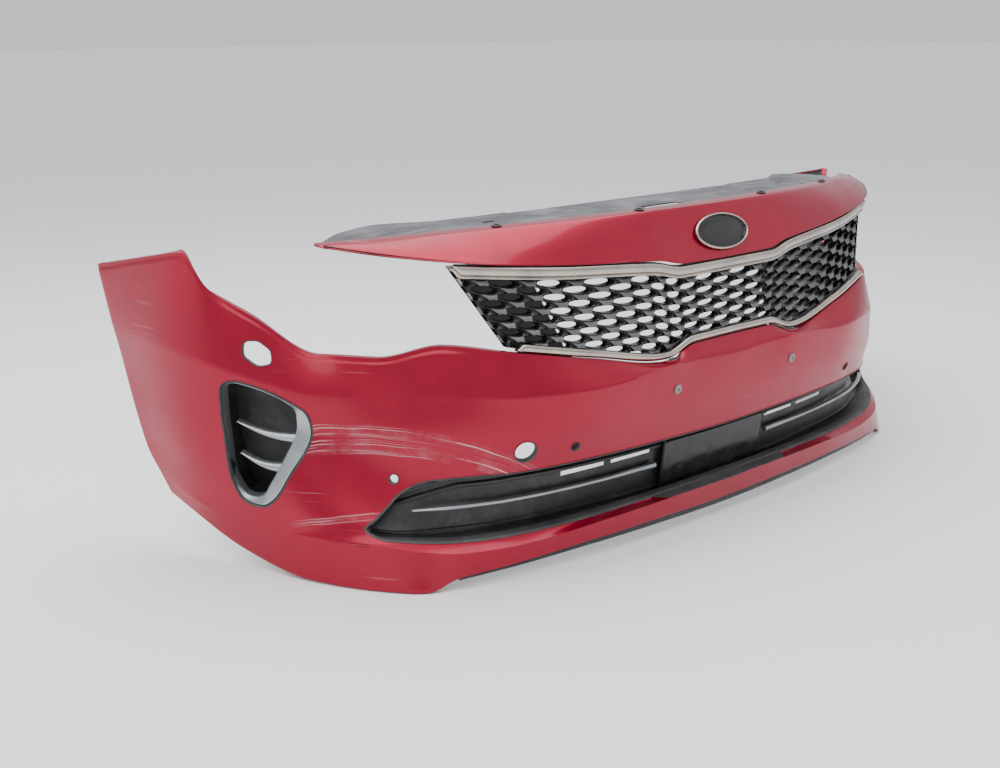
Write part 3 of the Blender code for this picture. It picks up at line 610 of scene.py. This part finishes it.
def shield_plastic():
    """Weathered black panel: greyed top, rubbed streaks and a little overspray."""
    shade = Shade("shield_plastic", (.06, .06, .065), .55)
    x = shade.axis(0)
    y = shade.axis(1)
    worn = shade.ramp(shade.noise(9, 6, .65), .35, .70)
    base = shade.mix(worn, (.045, .046, .050), (.135, .137, .148))
    rub = shade.noise(1, 3, at=shade.joined(shade.times(x, 9), shade.times(y, 120), 0.0))
    base = shade.mix(shade.ramp(rub, .58, .72, 0.0, .55), base, (.34, .34, .36))
    red = shade.times(shade.ramp(shade.noise(16, 5, .7), .60, .72), .5)
    base = shade.mix(red, base, (.20, .035, .045))
    shade.set("Base Color", base)
    shade.set("Roughness", shade.ramp(shade.noise(25, 5), .3, .7, .42, .68))
    shade.bump(shade.noise(420, 3), .16, .0005)
    return shade.mat


def metal(name, colour, tint, rough, smudge, metallic=1.0):
    """Plated plastic with smudges, faint fine lines along the bar and small pits."""
    shade = Shade(name, colour, rough, metallic)
    spread = shade.ramp(shade.noise(18, 5, .6), .35, .72)
    shade.set("Base Color", shade.mix(spread, colour, tint))
    along = shade.joined(shade.times(shade.axis(0), .1), shade.axis(1), shade.times(shade.axis(2), 4))
    lines = shade.noise(60, 3, at=along)
    shade.set("Roughness", shade.ramp(lines, .3, .75, rough, rough + smudge))
    shade.bump(shade.noise(90, 3), .02, .0006)
    return shade.mat


RED = red_paint()
RAW = plastic("raw_inner_plastic", (.030, .030, .031), (.055, .054, .053), .55, 320, .10, .10)
GLOSS = plastic("gloss_black_plastic", (.006, .006, .007), (.014, .014, .015), .20, 500, .05, .05)
BLACK = plastic("grained_black_plastic", (.010, .010, .011), (.022, .022, .023), .42, 700, .20, .08)
GREY = plastic("grey_insert_plastic", (.16, .15, .145), (.26, .25, .24), .48, 500, .15, .15)
FACET = metal("satin_grey_facets", (.13, .13, .135), (.19, .185, .18), .34, .14, .6)
# painted reflection: the chrome's warm tint stands in for warm light reflected in the trims and the badge
# ring
CHROME = metal("chrome_with_painted_warm_reflection", (.52, .47, .41), (.38, .34, .31), .12, .14)
SATIN = metal("satin_silver", (.40, .42, .43), (.31, .33, .34), .30, .14, .85)
SHIELD_MAT = shield_plastic()
BADGE_FACE = plastic("badge_face", (.006, .006, .008), (.010, .010, .012), .10, 300, .02)


# ---- painted skin
def cover_surface(across, up):
    return surface(STATIONS, COVER, across, up, (1, 5))


def frame_on(near):
    """Matrix at the middle of a grid of three by three points, local Z outward."""
    return facing(near[1, 1], Vector(near[1, 2] - near[1, 0]).cross(Vector(near[2, 1] - near[0, 1])))


def find_on_cover(x, z):
    """Matrix on the skin at this width and height, local Z outward."""
    side = -1 if x < 0 else 1
    us = sorted(side * WING_END * k / 214 for k in range(215))
    vs = [k * 0.02 for k in range(301)]
    g = cover_surface(us, vs)
    aim = (g[..., 0] - x * UNIT) ** 2 + (g[..., 2] - z * UNIT - ORIGIN[2]) ** 2
    row, col = np.unravel_index(np.argmin(aim), aim.shape)
    u, v, d = us[col], vs[row], 0.01
    return frame_on(cover_surface((u - d, u, u + d), (v - d, v, v + d)))


def vent_matrix(side):
    x, y, z = VENT_POINT
    a, b, c = VENT_OUT
    return facing(place(side * x, y, z), (side * a, b, c))


def skin_surface():
    """The skin without its holes; a light evening keeps reflections smooth off the creases."""
    across = np.linspace(-WING_END, WING_END, 341)
    up = counted((9, 8, 26, 18, 14)) + [6 - (1 - t) ** 1.7 for t in np.linspace(0, 1, 25)[1:]]
    grid = cover_surface(across, up)
    firm = np.zeros(grid.shape[:2])
    for k, v in enumerate(up):
        firm[k] = max(np.exp(-abs(v - 1) / .06), .93 * np.exp(-abs(v - 5) / .10), np.exp(-(6 - v) / .25))
    firm[0] = firm[-1] = 1
    firm[:, :1] = firm[:, -1:] = 1
    grid = relax(grid, 40, firm)
    inward = np.linalg.norm(np.diff(grid, axis=0), axis=2)
    away = np.concatenate([np.cumsum(inward[::-1], axis=0)[::-1], np.zeros((1, len(across)))])
    by_lamp = step_up(abs(across), .60, .06)
    recess = LAMP_STEP * (1 - step_up(away, LAMP_FLANGE, .003)) * by_lamp
    return grid - normals(grid) * recess[..., None]


def height_over(tree, matrix, points, start=0.12):
    """Local height of the surface in the tree over each local XY point."""
    down = -(matrix.to_3x3() @ Vector((0, 0, 1)))
    back = matrix.inverted()
    out = []
    for x, y in points:
        hit = tree.ray_cast(matrix @ Vector((x, y, start)), down)[0]
        out.append((back @ hit).z if hit else out[-1])
    return np.array(out)


def rim(name, loop, matrix, tree, radius, deep, start=0.12):
    """Rounded edge of a hole: from the skin round into the hole, then straight in."""
    rows = []
    for onward, inward in ROLL:
        line = grown(loop, radius * (1 - onward))
        high = height_over(tree, matrix, line, start) - radius * inward
        rows.append(np.column_stack([line, high]))
    rows += [rows[-1] - np.array((0, 0, deep * share)) for share in (0.4, 1)]
    bm = bmesh.new()
    add_grid(bm, rows, closed=True)
    bmesh.ops.recalc_face_normals(bm, faces=bm.faces)
    bm.transform(matrix)
    body = new_object(name, bm, (RED, RAW))
    centre = matrix @ Vector((*np.mean(loop, axis=0), 0))
    face = body.data.polygons[0]
    if face.normal.dot(centre - face.center) < -0.5:
        body.data.flip_normals()
    wall(body, 0.0012, 1)
    return dress(body, angle=50)


def skin_holes():
    """Every hole of the skin: name, loop, matrix, edge radius, depth of its edge, height of the rays."""
    outline = list(INTAKE) + [(-x, z) for x, z in reversed(INTAKE[1:-1])]
    holes = [("intake", closed_curve(outline) * UNIT, UPRIGHT, .0035, .013, 1.0)]
    holes.append(("tow_eye", circle(TOW_HOLE, 64), find_on_cover(*TOW_PLACE), .0015, .006, .05))
    for side, tag in SIDES:
        vent = closed_curve(mirrored(VENT_RIM, side))
        holes.append(("vent_" + tag, vent, vent_matrix(side), .0022, .005, .12))
        washer = mirrored(rounded(WASHER, WASHER_CORNER), side)
        x, z = WASHER_PLACE
        holes.append(("washer_" + tag, washer, find_on_cover(side * x, z), .0010, .009, .05))
        for where, x, z in SENSOR_PLACES:
            name = "sensor_%s_%s" % (where, tag)
            holes.append((name, circle(SENSOR_HOLE), find_on_cover(side * x, z), .0012, .004, .05))
    return holes


def build_skin(grid, tree):
    cutters = []
    for name, loop, matrix, radius, deep, start in skin_holes():
        rim("edge_" + name, loop, matrix, tree, radius, deep, start)
        reach = 0.40 if name == "intake" else 0.05
        cutters.append(prism(grown(loop, radius), -reach, reach, matrix))
    for side in (-1, 1):
        x, z = PLATE_PLACE
        cutters.append(prism(circle(INSERT_HOLE, 32), -.02, .02, find_on_cover(side * x, z)))
    body = sheet("painted_skin", rolled(grid, EDGE_RADIUS, EDGE_DEEP), SKIN, (RED, RAW))
    cut(body, cutters)
    dress(body, ("bumper_cover",), angle=32)


def strip_surface(across, up):
    return surface(STRIP_STATIONS, STRIP, across, up, (2,))


def retainer_places():
    """Retainers 1 to 4: the place of each on the top of the flange."""
    out = []
    for side in (-1, 1):
        for u in RETAINER_PLACES:
            out.append(Vector(strip_surface((side * u,), (2.5,))[0, 0]))
    return out


def retainer_cutters():
    return [prism(circle(RETAINER_HOLE, 24), -.03, .03, Matrix.Translation(p)) for p in retainer_places()]


def build_strip():
    across = np.linspace(-STRIP_END, STRIP_END, 251)
    up = counted((10, 10, 8))
    grid = strip_surface(across, up)
    firm = np.zeros(grid.shape[:2])
    for k, v in enumerate(up):
        firm[k] = max(np.exp(-v / .12), .8 * np.exp(-abs(v - 2) / .15), np.exp(-(3 - v) / .1))
    firm[:, :1] = firm[:, -1:] = 1
    grid = relax(grid, 30, firm)
    body = sheet("header_strip", rolled(grid, .0025, .007, all_round=False), SKIN, (RED, RAW))
    cut(body, retainer_cutters())
    dress(body, angle=32)


def build_bridges():
    """Hidden bridges behind the ends of the grille, from the sill to the header strip."""
    for side, tag in SIDES:
        sill = cover_surface(side * np.linspace(.405, .48, 13), (6,))[0]
        head = strip_surface(side * np.linspace(.48, .555, 13), (0,))[0]
        rows = [sill + (0, .0035, 0), sill + (0, .040, .004), head + (0, .048, -.004), head + (0, .0035, 0)]
        if side < 0:
            rows = [row[::-1] for row in rows]
        steps = [rows[0]]
        for a, b, count in zip(rows, rows[1:], (4, 12, 4)):
            steps += [a + (b - a) * t for t in np.linspace(0, 1, count + 1)[1:]]
        body = sheet("hidden_bridge_" + tag, np.array(steps), SKIN, (RAW,))
        modified(body, "BEVEL", width=.001, segments=2, limit_method="ANGLE", angle_limit=math.radians(35))
        dress(body)


# ---- sight shield and push-pins
def step_up(value, edge, soft):
    t = np.clip((value - edge + soft / 2) / soft, 0, 1)
    return t * t * (3 - 2 * t)


def pad(x, y, cx, cy, wide, deep, soft=.003):
    """1 inside a rectangle of this half width and half depth, 0 outside."""
    return (1 - step_up(abs(x - cx), wide, soft)) * (1 - step_up(abs(y - cy), deep, soft))


def build_shield():
    across = np.linspace(-SHIELD_END, SHIELD_END, 401)
    up = counted((4, 6, 40))
    grid = surface(SHIELD_STATIONS, SHIELD, across, up, (1, 2))
    x = grid[..., 0]
    y = grid[..., 1]
    slot_x, slot_y = SLOT_PLACE
    relief = -.0016 * pad(x, y, 0, -.045, .30, .030, .008)
    relief = relief - .0014 * pad(x, y, -.018, -.150, .066, .026, .004)
    for side in (-1, 1):
        relief = relief + .0004 * pad(x, y, side * slot_x * UNIT, slot_y * UNIT + ORIGIN[1], .024, .014)
        relief = relief - .0018 * pad(x, y, side * .52, -.050, .055, .012, .006)
        relief = relief - .0012 * pad(x, y, side * .21, -.030, .004, .040, .004)
    grid[..., 2] += relief - .0005
    grid = rolled(grid, .0015, .004, all_round=False)
    body = sheet("sight_shield_panel", grid, SHEET, (SHIELD_MAT, SHIELD_MAT))
    tools = [prism(LATCH, -.02, .02, Matrix.Translation(place(*LATCH_PLACE, .617)))]
    for side in (-1, 1):
        tools.append(prism(BOLT_SLOT, -.02, .02, Matrix.Translation(place(side * slot_x, slot_y, .615))))
    cut(body, tools + retainer_cutters())
    dress(body, ("sight_shield",), angle=30)


def build_retainers():
    """Push-pins: a sleeve with a dished head, and the centre pin that slides in it."""
    sleeve = ((.0023, .0027), (.0052, .0027), (.0060, .0023), (.0080, .0022), (.0089, .0017), (.0090, .0008),
              (.0037, .0008), (.0037, -.0100), (.0033, -.0130), (.0023, -.0130))
    pin = ((0, .0042), (.0030, .0044), (.0041, .0041), (.0043, .0036), (.0043, .0030), (.0020, .0030),
           (.0020, -.0150), (.0010, -.0170), (0, -.0170))
    for k, point in enumerate(retainer_places(), 1):
        at = Matrix.Translation(point)
        number = str(k)
        body = turned("push_pin_sleeve_" + number, sleeve, at, (BLACK,), closed=True)
        dress(body, ("retainer_body_" + number,))
        body = turned("push_pin_stem_" + number, pin, at, (BLACK,))
        dress(body, ("retainer_pin_" + number,), ride="pin_" + number)


# ---- upper grille
COLUMNS = np.linspace(-1.06, 1.06, 849)
SILL_LINE, HEADER_LINE = (spline(*full(OPENING_STATIONS, rail), COLUMNS) * UNIT + ORIGIN
                          for rail in (SILL, HEADER))


def line_at(line, p):
    return np.array([np.interp(p, COLUMNS, line[:, k]) for k in range(3)])


def opening_height(p):
    return line_at(HEADER_LINE, p)[2] - line_at(SILL_LINE, p)[2]


def grille_point(p, drop, back=0.0):
    """Point of the opening in column p, this far below the header line, this far behind it."""
    p = np.clip(p, -1, 1)
    low = line_at(SILL_LINE, p)
    high = line_at(HEADER_LINE, p)
    tall = high[2] - low[2]
    share = np.clip(drop, GRILLE_INSET, tall - GRILLE_INSET) / tall
    return high + (low - high) * share + (0, back + GRILLE_BACK + GRILLE_LEAN * share, 0)


def lens(wide, high, per):
    """Eye shape with pointed ends, per points along each of its four quarters."""
    turns = np.linspace(0, math.pi, 2 * per, endpoint=False)
    top = np.column_stack([np.cos(turns) * wide, np.sin(turns) ** 1.25 * high])
    return np.concatenate([top, -top])


def tile_edge(per):
    """Long hexagon round a cell, with as many points as the lens, column pitch by cell step."""
    flat = CELL_PITCH * .34
    tip = CELL_PITCH - flat
    half = CELL_STEP / 2
    corners = ((tip, 0), (flat, half), (-flat, half), (-tip, 0), (-flat, -half), (flat, -half))
    counts = (per * 2 // 3, per * 2 - 2 * (per * 2 // 3), per * 2 // 3) * 2
    out = []
    for k, n in enumerate(counts):
        a = np.array(corners[k])
        b = np.array(corners[(k + 1) % 6])
        out += [a + (b - a) * i / n for i in range(n)]
    return np.array(out)


def cell_rings(per=6):
    """Rings of one cell as (column share, drop, depth), from its tile's edge to its back."""
    edge = tile_edge(per)
    front, inner, rear = (lens(CELL_PITCH * wide, high, per) for wide, high in
                          ((.63, .0080), (.57, .0064), (.52, .0056)))
    sharp = np.abs(front[:, 0]) / (CELL_PITCH * .63)
    level = np.zeros(len(edge))
    rings = ((edge, level + .0015), (front, .0045 * sharp ** 2), (inner, .0016 + .0050 * sharp ** 2),
             (rear, level + .0125), (edge, level + .0125))
    return [np.column_stack(ring) for ring in rings]


def build_grille():
    bm = bmesh.new()
    rings = cell_rings()
    for column in range(-13, 14):
        p = column * CELL_PITCH
        drop = CELL_FIRST if column % 2 else CELL_FIRST + CELL_STEP / 2
        drop -= 2 * CELL_STEP
        while drop < opening_height(np.clip(p, -1, 1)) + CELL_STEP:
            rows = [[grille_point(p + dp, drop - dz, back) for dp, dz, back in ring] for ring in rings]
            add_grid(bm, rows, closed=True)
            drop += CELL_STEP
    bmesh.ops.remove_doubles(bm, verts=bm.verts, dist=0.00004)
    bmesh.ops.dissolve_degenerate(bm, edges=bm.edges, dist=0.00004)
    body = new_object("grille_lattice", bm, (GLOSS,))
    dress(body, ("grille_mesh",), angle=28)


def build_facets():
    """Satin trapezoids between each cell and the next one below it, tilted up like scales."""
    outline = ((-.0046, .026, .0012), (-.0042, .0265, -.0002), (0, .020, -.0020),
               (.0040, .0145, -.0034), (.0046, .0135, -.0026), (.0046, .013, .0014))
    bm = bmesh.new()
    half = CELL_STEP / 2
    for column in range(-12, 13):
        p = column * CELL_PITCH
        drop = (CELL_FIRST if column % 2 else CELL_FIRST + half) - CELL_STEP + half
        while drop < opening_height(p) - GRILLE_INSET - .004:
            if drop > GRILLE_INSET + .006:
                rows = []
                for dz, wide, back in outline:
                    sag = .0012 if dz < 0 else -.0008
                    rows.append([grille_point(p + wide * t, drop + dz + sag * (1 - t * t), back)
                                 for t in np.linspace(-1, 1, 7)])
                add_grid(bm, rows)
            drop += CELL_STEP
    body = new_object("grille_facets", bm, (FACET, FACET))
    wall(body, .0004)
    dress(body, angle=35)


def build_grille_border():
    """Frame round the lattice, black strips in the gaps by the trims as painted shade, and panels behind the
    ends.
    """
    columns = np.linspace(-GRILLE_END, GRILLE_END, 161)
    frame_shape = ((-.0030, .0135), (-.0030, .0010), (-.0018, -.0002), (.0018, -.0002), (.0030, .0010),
                   (.0030, .0135))
    for name in ("grille_border_upper", "grille_border_lower"):
        rings = []
        for p in columns:
            drop = .0045 if name == "grille_border_upper" else opening_height(p) - .0045
            rings.append([grille_point(p, drop + dz, back) for dz, back in frame_shape])
        dress(bar(name, rings, (GLOSS,)))
    # painted shade: black strips behind the gaps by the trims keep those gaps dark
    for name, line, high, low in (("grille_gap_shade_upper", HEADER_LINE, .0006, -.0060),
                                  ("grille_gap_shade_lower", SILL_LINE, .0060, -.0008)):
        shape = ((.0071, high), (.0100, high), (.0100, low), (.0071, low))
        rings = swept([line_at(line, p) for p in columns], [shape] * len(columns))
        dress(bar(name, rings, (BLACK,)))
    for side, tag in SIDES:
        columns = np.linspace(.75, GRILLE_END, 31) * side
        if side < 0:
            columns = columns[::-1]
        grid = []
        for share in np.linspace(.97, .03, 13):
            grid.append([grille_point(p, share * opening_height(p), .0130) for p in columns])
        body = sheet("grille_back_" + tag, np.array(grid), .0018, (GLOSS,))
        dress(body)


def build_trims():
    """Bright bars: a broad face with a thin lip under it over the grille, a rounded one below."""
    upper = ((.0070, .0000), (.0006, -.0001), (-.0012, -.0008), (-.0026, -.0030), (-.0030, -.0064),
             (-.0029, -.0108), (-.0021, -.0140), (-.0006, -.0150), (.0004, -.0158), (-.0004, -.0168),
             (-.0014, -.0180), (-.0014, -.0196), (-.0004, -.0207), (.0070, -.0210))
    lower = ((.0070, .0130), (.0004, .0128), (-.0010, .0118), (-.0024, .0096), (-.0030, .0065),
             (-.0024, .0034), (-.0010, .0012), (.0004, .0002), (.0070, .0000))
    columns = np.linspace(-1, 1, 241)
    slim = [1 - .72 * step_up(abs(p), .985, .030) for p in columns]
    for name, line, shape, lift in (("grille_trim_upper", HEADER_LINE, upper, -TRIM_LIFT),
                                    ("grille_trim_lower", SILL_LINE, lower, TRIM_LIFT)):
        places = [line_at(line, p) + (0, 0, lift) for p in columns]
        rings = swept(places, [np.array(shape) * (1, share) for share in slim])
        dress(bar("chrome_" + name, rings, (CHROME,)), (name,), angle=50)


def build_badge():
    at = frame_on(strip_surface((-.01, 0, .01), (.75, .85, .95)))
    shape = ((0, .0029), (0, .0048), (.0005, .0062), (.0014, .0073), (.0024, .0076), (.0032, .0071),
             (.0036, .0060), (.0037, .0029))
    rings = []
    for inward, high in shape:
        loop = grown(oval(BADGE_WIDE, BADGE_HIGH), -inward)
        rings.append([at @ Vector((x, y, high)) for x, y in loop])
    dress(hoop("badge_oval_ring", rings, (CHROME,)), ("badge_ring",), angle=60)
    rings = []
    for share in (1, .999, .97, .93, .85, .7, .55, .4, .25, .1, .02):
        loop = grown(oval(BADGE_WIDE, BADGE_HIGH), -.0040) * share
        high = .0026 if share == 1 else .0040 + .0016 * (1 - share * share) - .0008 * (share > .9)
        rings.append([at @ Vector((x, y, high)) for x, y in loop])
    dress(bar("badge_plain_face", rings[::-1], (BADGE_FACE,)), ("badge_base",), angle=40)


# ---- lower intake
def behind_cover(across, rows, depths):
    """Grid behind the skin: one value per column in each row of rows and depths."""
    out = np.empty((len(rows), len(across), 3))
    for j, u in enumerate(across):
        out[:, j] = cover_surface((u,), [row[j] for row in rows])[:, 0]
        out[:, j, 1] += [depth[j] for depth in depths]
    return out


def build_lower_grille():
    """Black pan of the intake, with two ledges across it and four air slots."""
    across = np.linspace(-.772, .772, 233)
    size = abs(across)
    low = np.interp(size, (0, .36, .52, .62, .70, .772), (2.03, 2.0, 1.95, 1.90, 1.85, 1.80))
    high = np.interp(size, (0, .60, .66, .70, .735, .772), (3.08, 3.08, 2.94, 2.83, 2.62, 2.34))
    near = SKIN + .0045 + .006 * np.maximum(0, size - .5)
    far = near + (SKIN + .033 - near) * step_up(-size, -.752, .030)
    profile = ((0, 0), (.004, .25), (.010, .70), (.020, .93), (.040, 1), (.10, 1), (.13, 1), (.145, .86),
               (.155, .82), (.185, .82), (.195, .86), (.210, 1), (.30, 1), (.40, 1), (.50, 1), (.60, 1),
               (.70, 1), (.735, 1), (.750, .86), (.760, .82), (.790, .82), (.800, .86), (.815, 1), (.88, 1),
               (.95, 1), (.975, .93), (.988, .70), (.996, .25), (1, 0))
    rows = [low + (high - low) * share for share, deep in profile]
    depths = [near + (far - near) * deep for share, deep in profile]
    body = sheet("lower_grille_pan", behind_cover(across, rows, depths), SHEET, (BLACK,))
    slots = []
    low, high = AIR_SLOT_HEIGHTS
    for side in (-1, 1):
        for inner, outer in AIR_SLOTS:
            a, b = sorted((side * inner * UNIT, side * outer * UNIT))
            slots.append(prism([(a, low), (b, low), (b, high), (a, high)], -.2, .4, UPRIGHT))
    cut(body, slots)
    dress(body, ("lower_grille",), angle=35)


def build_blades():
    """Two silver blades, thin at the corner and widening to a wedge by the centre panel."""
    line = np.array(((.172, .069, .131), (.30, .076, .132), (.42, .088, .134), (.52, .106, .136),
                     (.62, .142, .137), (.685, .180, .1365)))
    shape = np.array(((.0090, -.80), (.0022, -.95), (.0004, -.62), (-.0002, 0), (.0004, .62), (.0022, .95),
                      (.0090, .80)))
    along = spline(line[:, 0], line, np.linspace(.172, .685, 61))
    halves = []
    for k in range(len(along)):
        share = k / (len(along) - 1)
        halves.append(.0034 + .0016 * step_up(-share, -.16, .2) - .0016 * step_up(share, .95, .12))
    for side, tag in SIDES:
        places = along * (side * UNIT, UNIT, UNIT) + ORIGIN
        rings = swept(places, [shape * (1, half) for half in halves])
        dress(bar("silver_blade_" + tag, rings, (SATIN,)), ("blade_" + tag,), angle=50)


def build_centre_panel():
    across = np.linspace(-.155, .155, 41)
    rows = [np.full(len(across), v) for v in np.linspace(2.12, 2.90, 21)]
    grid = behind_cover(across, rows, [np.full(len(across), .024)] * len(rows))
    body = sheet("plain_centre_panel", rolled(grid, .002, .008), .002, (GLOSS, BLACK))
    dress(body, ("centre_panel",))


def build_lip():
    end = .62
    across = np.linspace(-end, end, 121)
    shapes = []
    for u in across:
        deep = .011 - .006 * (abs(u) / end) ** 2
        shapes.append(((.0032, -.0012), (.0218, -.0012), (.0220, -.0036), (.0070, .0008 - deep),
                       (.0050, .0002 - deep), (.0036, .0010 - deep), (.0030, .0028 - deep)))
    rings = swept(cover_surface(across, (0,))[0], shapes)
    dress(bar("black_lower_lip", rings, (BLACK,)), ("lower_lip",), angle=40)


# ---- corner vents, sensor holders, plate inserts
def build_vent(side, tag, tree):
    """Satin frame that slopes from the skin down to a smaller mouth, with two tusk-shaped fins."""
    at = vent_matrix(side)
    outer = closed_curve(mirrored(VENT_RIM, side))
    mouth = closed_curve(mirrored(VENT_MOUTH, side))
    rings = []
    for share, inward, down in ((0, .0018, .0110), (0, .0018, .0026), (0, .0022, .0016), (0, .0032, .0010),
                                (.12, .0026, .0011), (.5, .0010, .0030), (.86, .0, .0058),
                                (1, -.0004, .0072), (1, .0, .0090), (1, .0006, .0240), (1, -.0010, .0240),
                                (.94, 0, .0110), (.5, 0, .0080), (.1, .0020, .0110)):
        loop = grown(outer * (1 - share) + mouth * share, -inward)
        high = height_over(tree, at, loop) - down
        rings.append([at @ Vector((x, y, z)) for (x, y), z in zip(loop, high)])
    dress(hoop("vent_frame_" + tag, rings, (SATIN,)), ("vent_trim_" + tag,), angle=55)
    section = ((-1.0, -.0040), (-.72, -.0012), (-.25, .0000), (.25, -.0008), (.72, -.0034), (1.0, -.0080),
               (.8, -.0160), (0, -.0180), (-.8, -.0140))
    for number, fin in enumerate(VENT_FINS, 1):
        root, tip = mirrored(fin, side)
        rings = []
        for t in np.linspace(0, 1, 25):
            bend = -.0060 * math.sin(math.pi * t)
            x, y = root + (tip - root) * t + (0, bend)
            half = FIN_THICK * (.10 + .90 * (1 - t) ** .8) * .5 + .0008
            front = height_over(tree, at, [(x, y)])[0] - .0065 - .0030 * t
            rings.append([at @ Vector((x, y + dy * half, front + dz)) for dy, dz in section])
        dress(bar("vent_fin_%s_%d" % (tag, number), rings, (SATIN,)), angle=60)


def build_holders():
    profile = ((.0092, -.0046), (.0106, -.0046), (.0122, -.0050), (.0128, -.0058), (.0128, -.0170),
               (.0120, -.0180), (.0092, -.0180))
    for side, tag in SIDES:
        for where, x, z in SENSOR_PLACES:
            name = "sensor_%s_%s" % (where, tag)
            at = find_on_cover(side * x, z)
            body = turned("holder_" + name, profile, at, (BLACK,), closed=True)
            dress(body, (name,))


def build_inserts():
    profile = ((0, -.0030), (.0017, -.0030), (.0019, .0019), (.0024, .0024), (.0058, .0026),
               (.0076, .0022), (.0086, .0014), (.0090, .0004), (.0045, .0004), (.0045, -.0100),
               (.0036, -.0120), (0, -.0120))
    x, z = PLATE_PLACE
    for side, tag in SIDES:
        body = turned("plate_screw_insert_" + tag, profile, find_on_cover(side * x, z), (GREY,))
        dress(body, ("plate_insert_" + tag,), angle=40)


# ---- stage
def build_stage():
    bm = bmesh.new()
    bmesh.ops.create_grid(bm, x_segments=1, y_segments=1, size=60)
    bmesh.ops.translate(bm, verts=bm.verts, vec=(0, 0, -.0006))
    floor = Shade("pale_floor", (.86, .86, .86), .85)
    floor.set("Base Color", floor.mix(floor.noise(2, 3), (.85, .85, .85), (.88, .88, .88)))
    new_object("floor", bm, (floor.mat,))


def area(name, place_at, aim, size, power, colour=(1, 1, 1)):
    data = bpy.data.lights.new(name, "AREA")
    data.shape = "RECTANGLE"
    data.size, data.size_y = size
    data.energy = power
    data.color = colour
    outward = Vector(place_at) - Vector(aim)
    linked(name, data).matrix_world = facing(place_at, outward, Vector((0, 0.3, 1)))


def build_lights():
    """A soft room that brightens upward, with a faint glow at the horizon, and three large lamps."""
    world = bpy.data.worlds.new("soft_room")
    bpy.context.scene.world = world
    world.use_nodes = True
    room = Nodes(world.node_tree, "Generated")
    height = room.axis(2)
    rise = room.ramp(height, .05, .9, .62, 1.25, "LINEAR")
    glow = room.ramp(height, .05, .14, .20, 0, "LINEAR")
    background = room.tree.nodes["Background"]
    room.put(background.inputs["Color"], (.94, .96, 1.0))
    room.put(background.inputs["Strength"], room.plus(rise, glow))
    area("overhead", (-.3, .3, 2.7), (0, 0, .3), (4.0, 3.0), 115)
    area("key", (-2.8, -1.6, 2.6), (-.3, -.1, .3), (2.4, 1.8), 30)
    area("fill", (2.4, -2.6, 1.6), (.2, -.1, .3), (2.2, 1.8), 4, (1.0, .90, .82))


def build_camera():
    data = bpy.data.cameras.new("camera")
    data.lens = LENS
    data.sensor_width = 36.0
    camera = linked("camera", data)
    matrix = Matrix.Translation(CAMERA_AT)
    for degrees, axis in ((CAMERA_TURN, "Z"), (90 - CAMERA_DOWN, "X"), (CAMERA_ROLL, "Z")):
        matrix = matrix @ Matrix.Rotation(math.radians(degrees), 4, axis)
    camera.matrix_world = matrix
    bpy.context.scene.camera = camera


def ray_tree(grid):
    """Tree of the grid's quads, for finding its height."""
    high, wide = grid.shape[:2]
    quads = [(i * wide + j, i * wide + j + 1, (i + 1) * wide + j + 1, (i + 1) * wide + j)
             for i in range(high - 1) for j in range(wide - 1)]
    return BVHTree.FromPolygons([Vector(p) for p in grid.reshape(-1, 3)], quads)


def main():
    build_camera()
    build_lights()
    build_stage()
    grid = skin_surface()
    tree = ray_tree(grid)
    build_skin(grid, tree)
    for build in (build_strip, build_bridges, build_shield, build_retainers, build_grille, build_facets,
                  build_grille_border, build_trims, build_badge, build_lower_grille, build_blades,
                  build_centre_panel, build_lip):
        build()
    for side, tag in SIDES:
        build_vent(side, tag, tree)
        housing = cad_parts["vent_housing_" + tag]
        housing.data.materials.clear()
        housing.data.materials.append(BLACK)
    build_holders()
    build_inserts()


main()
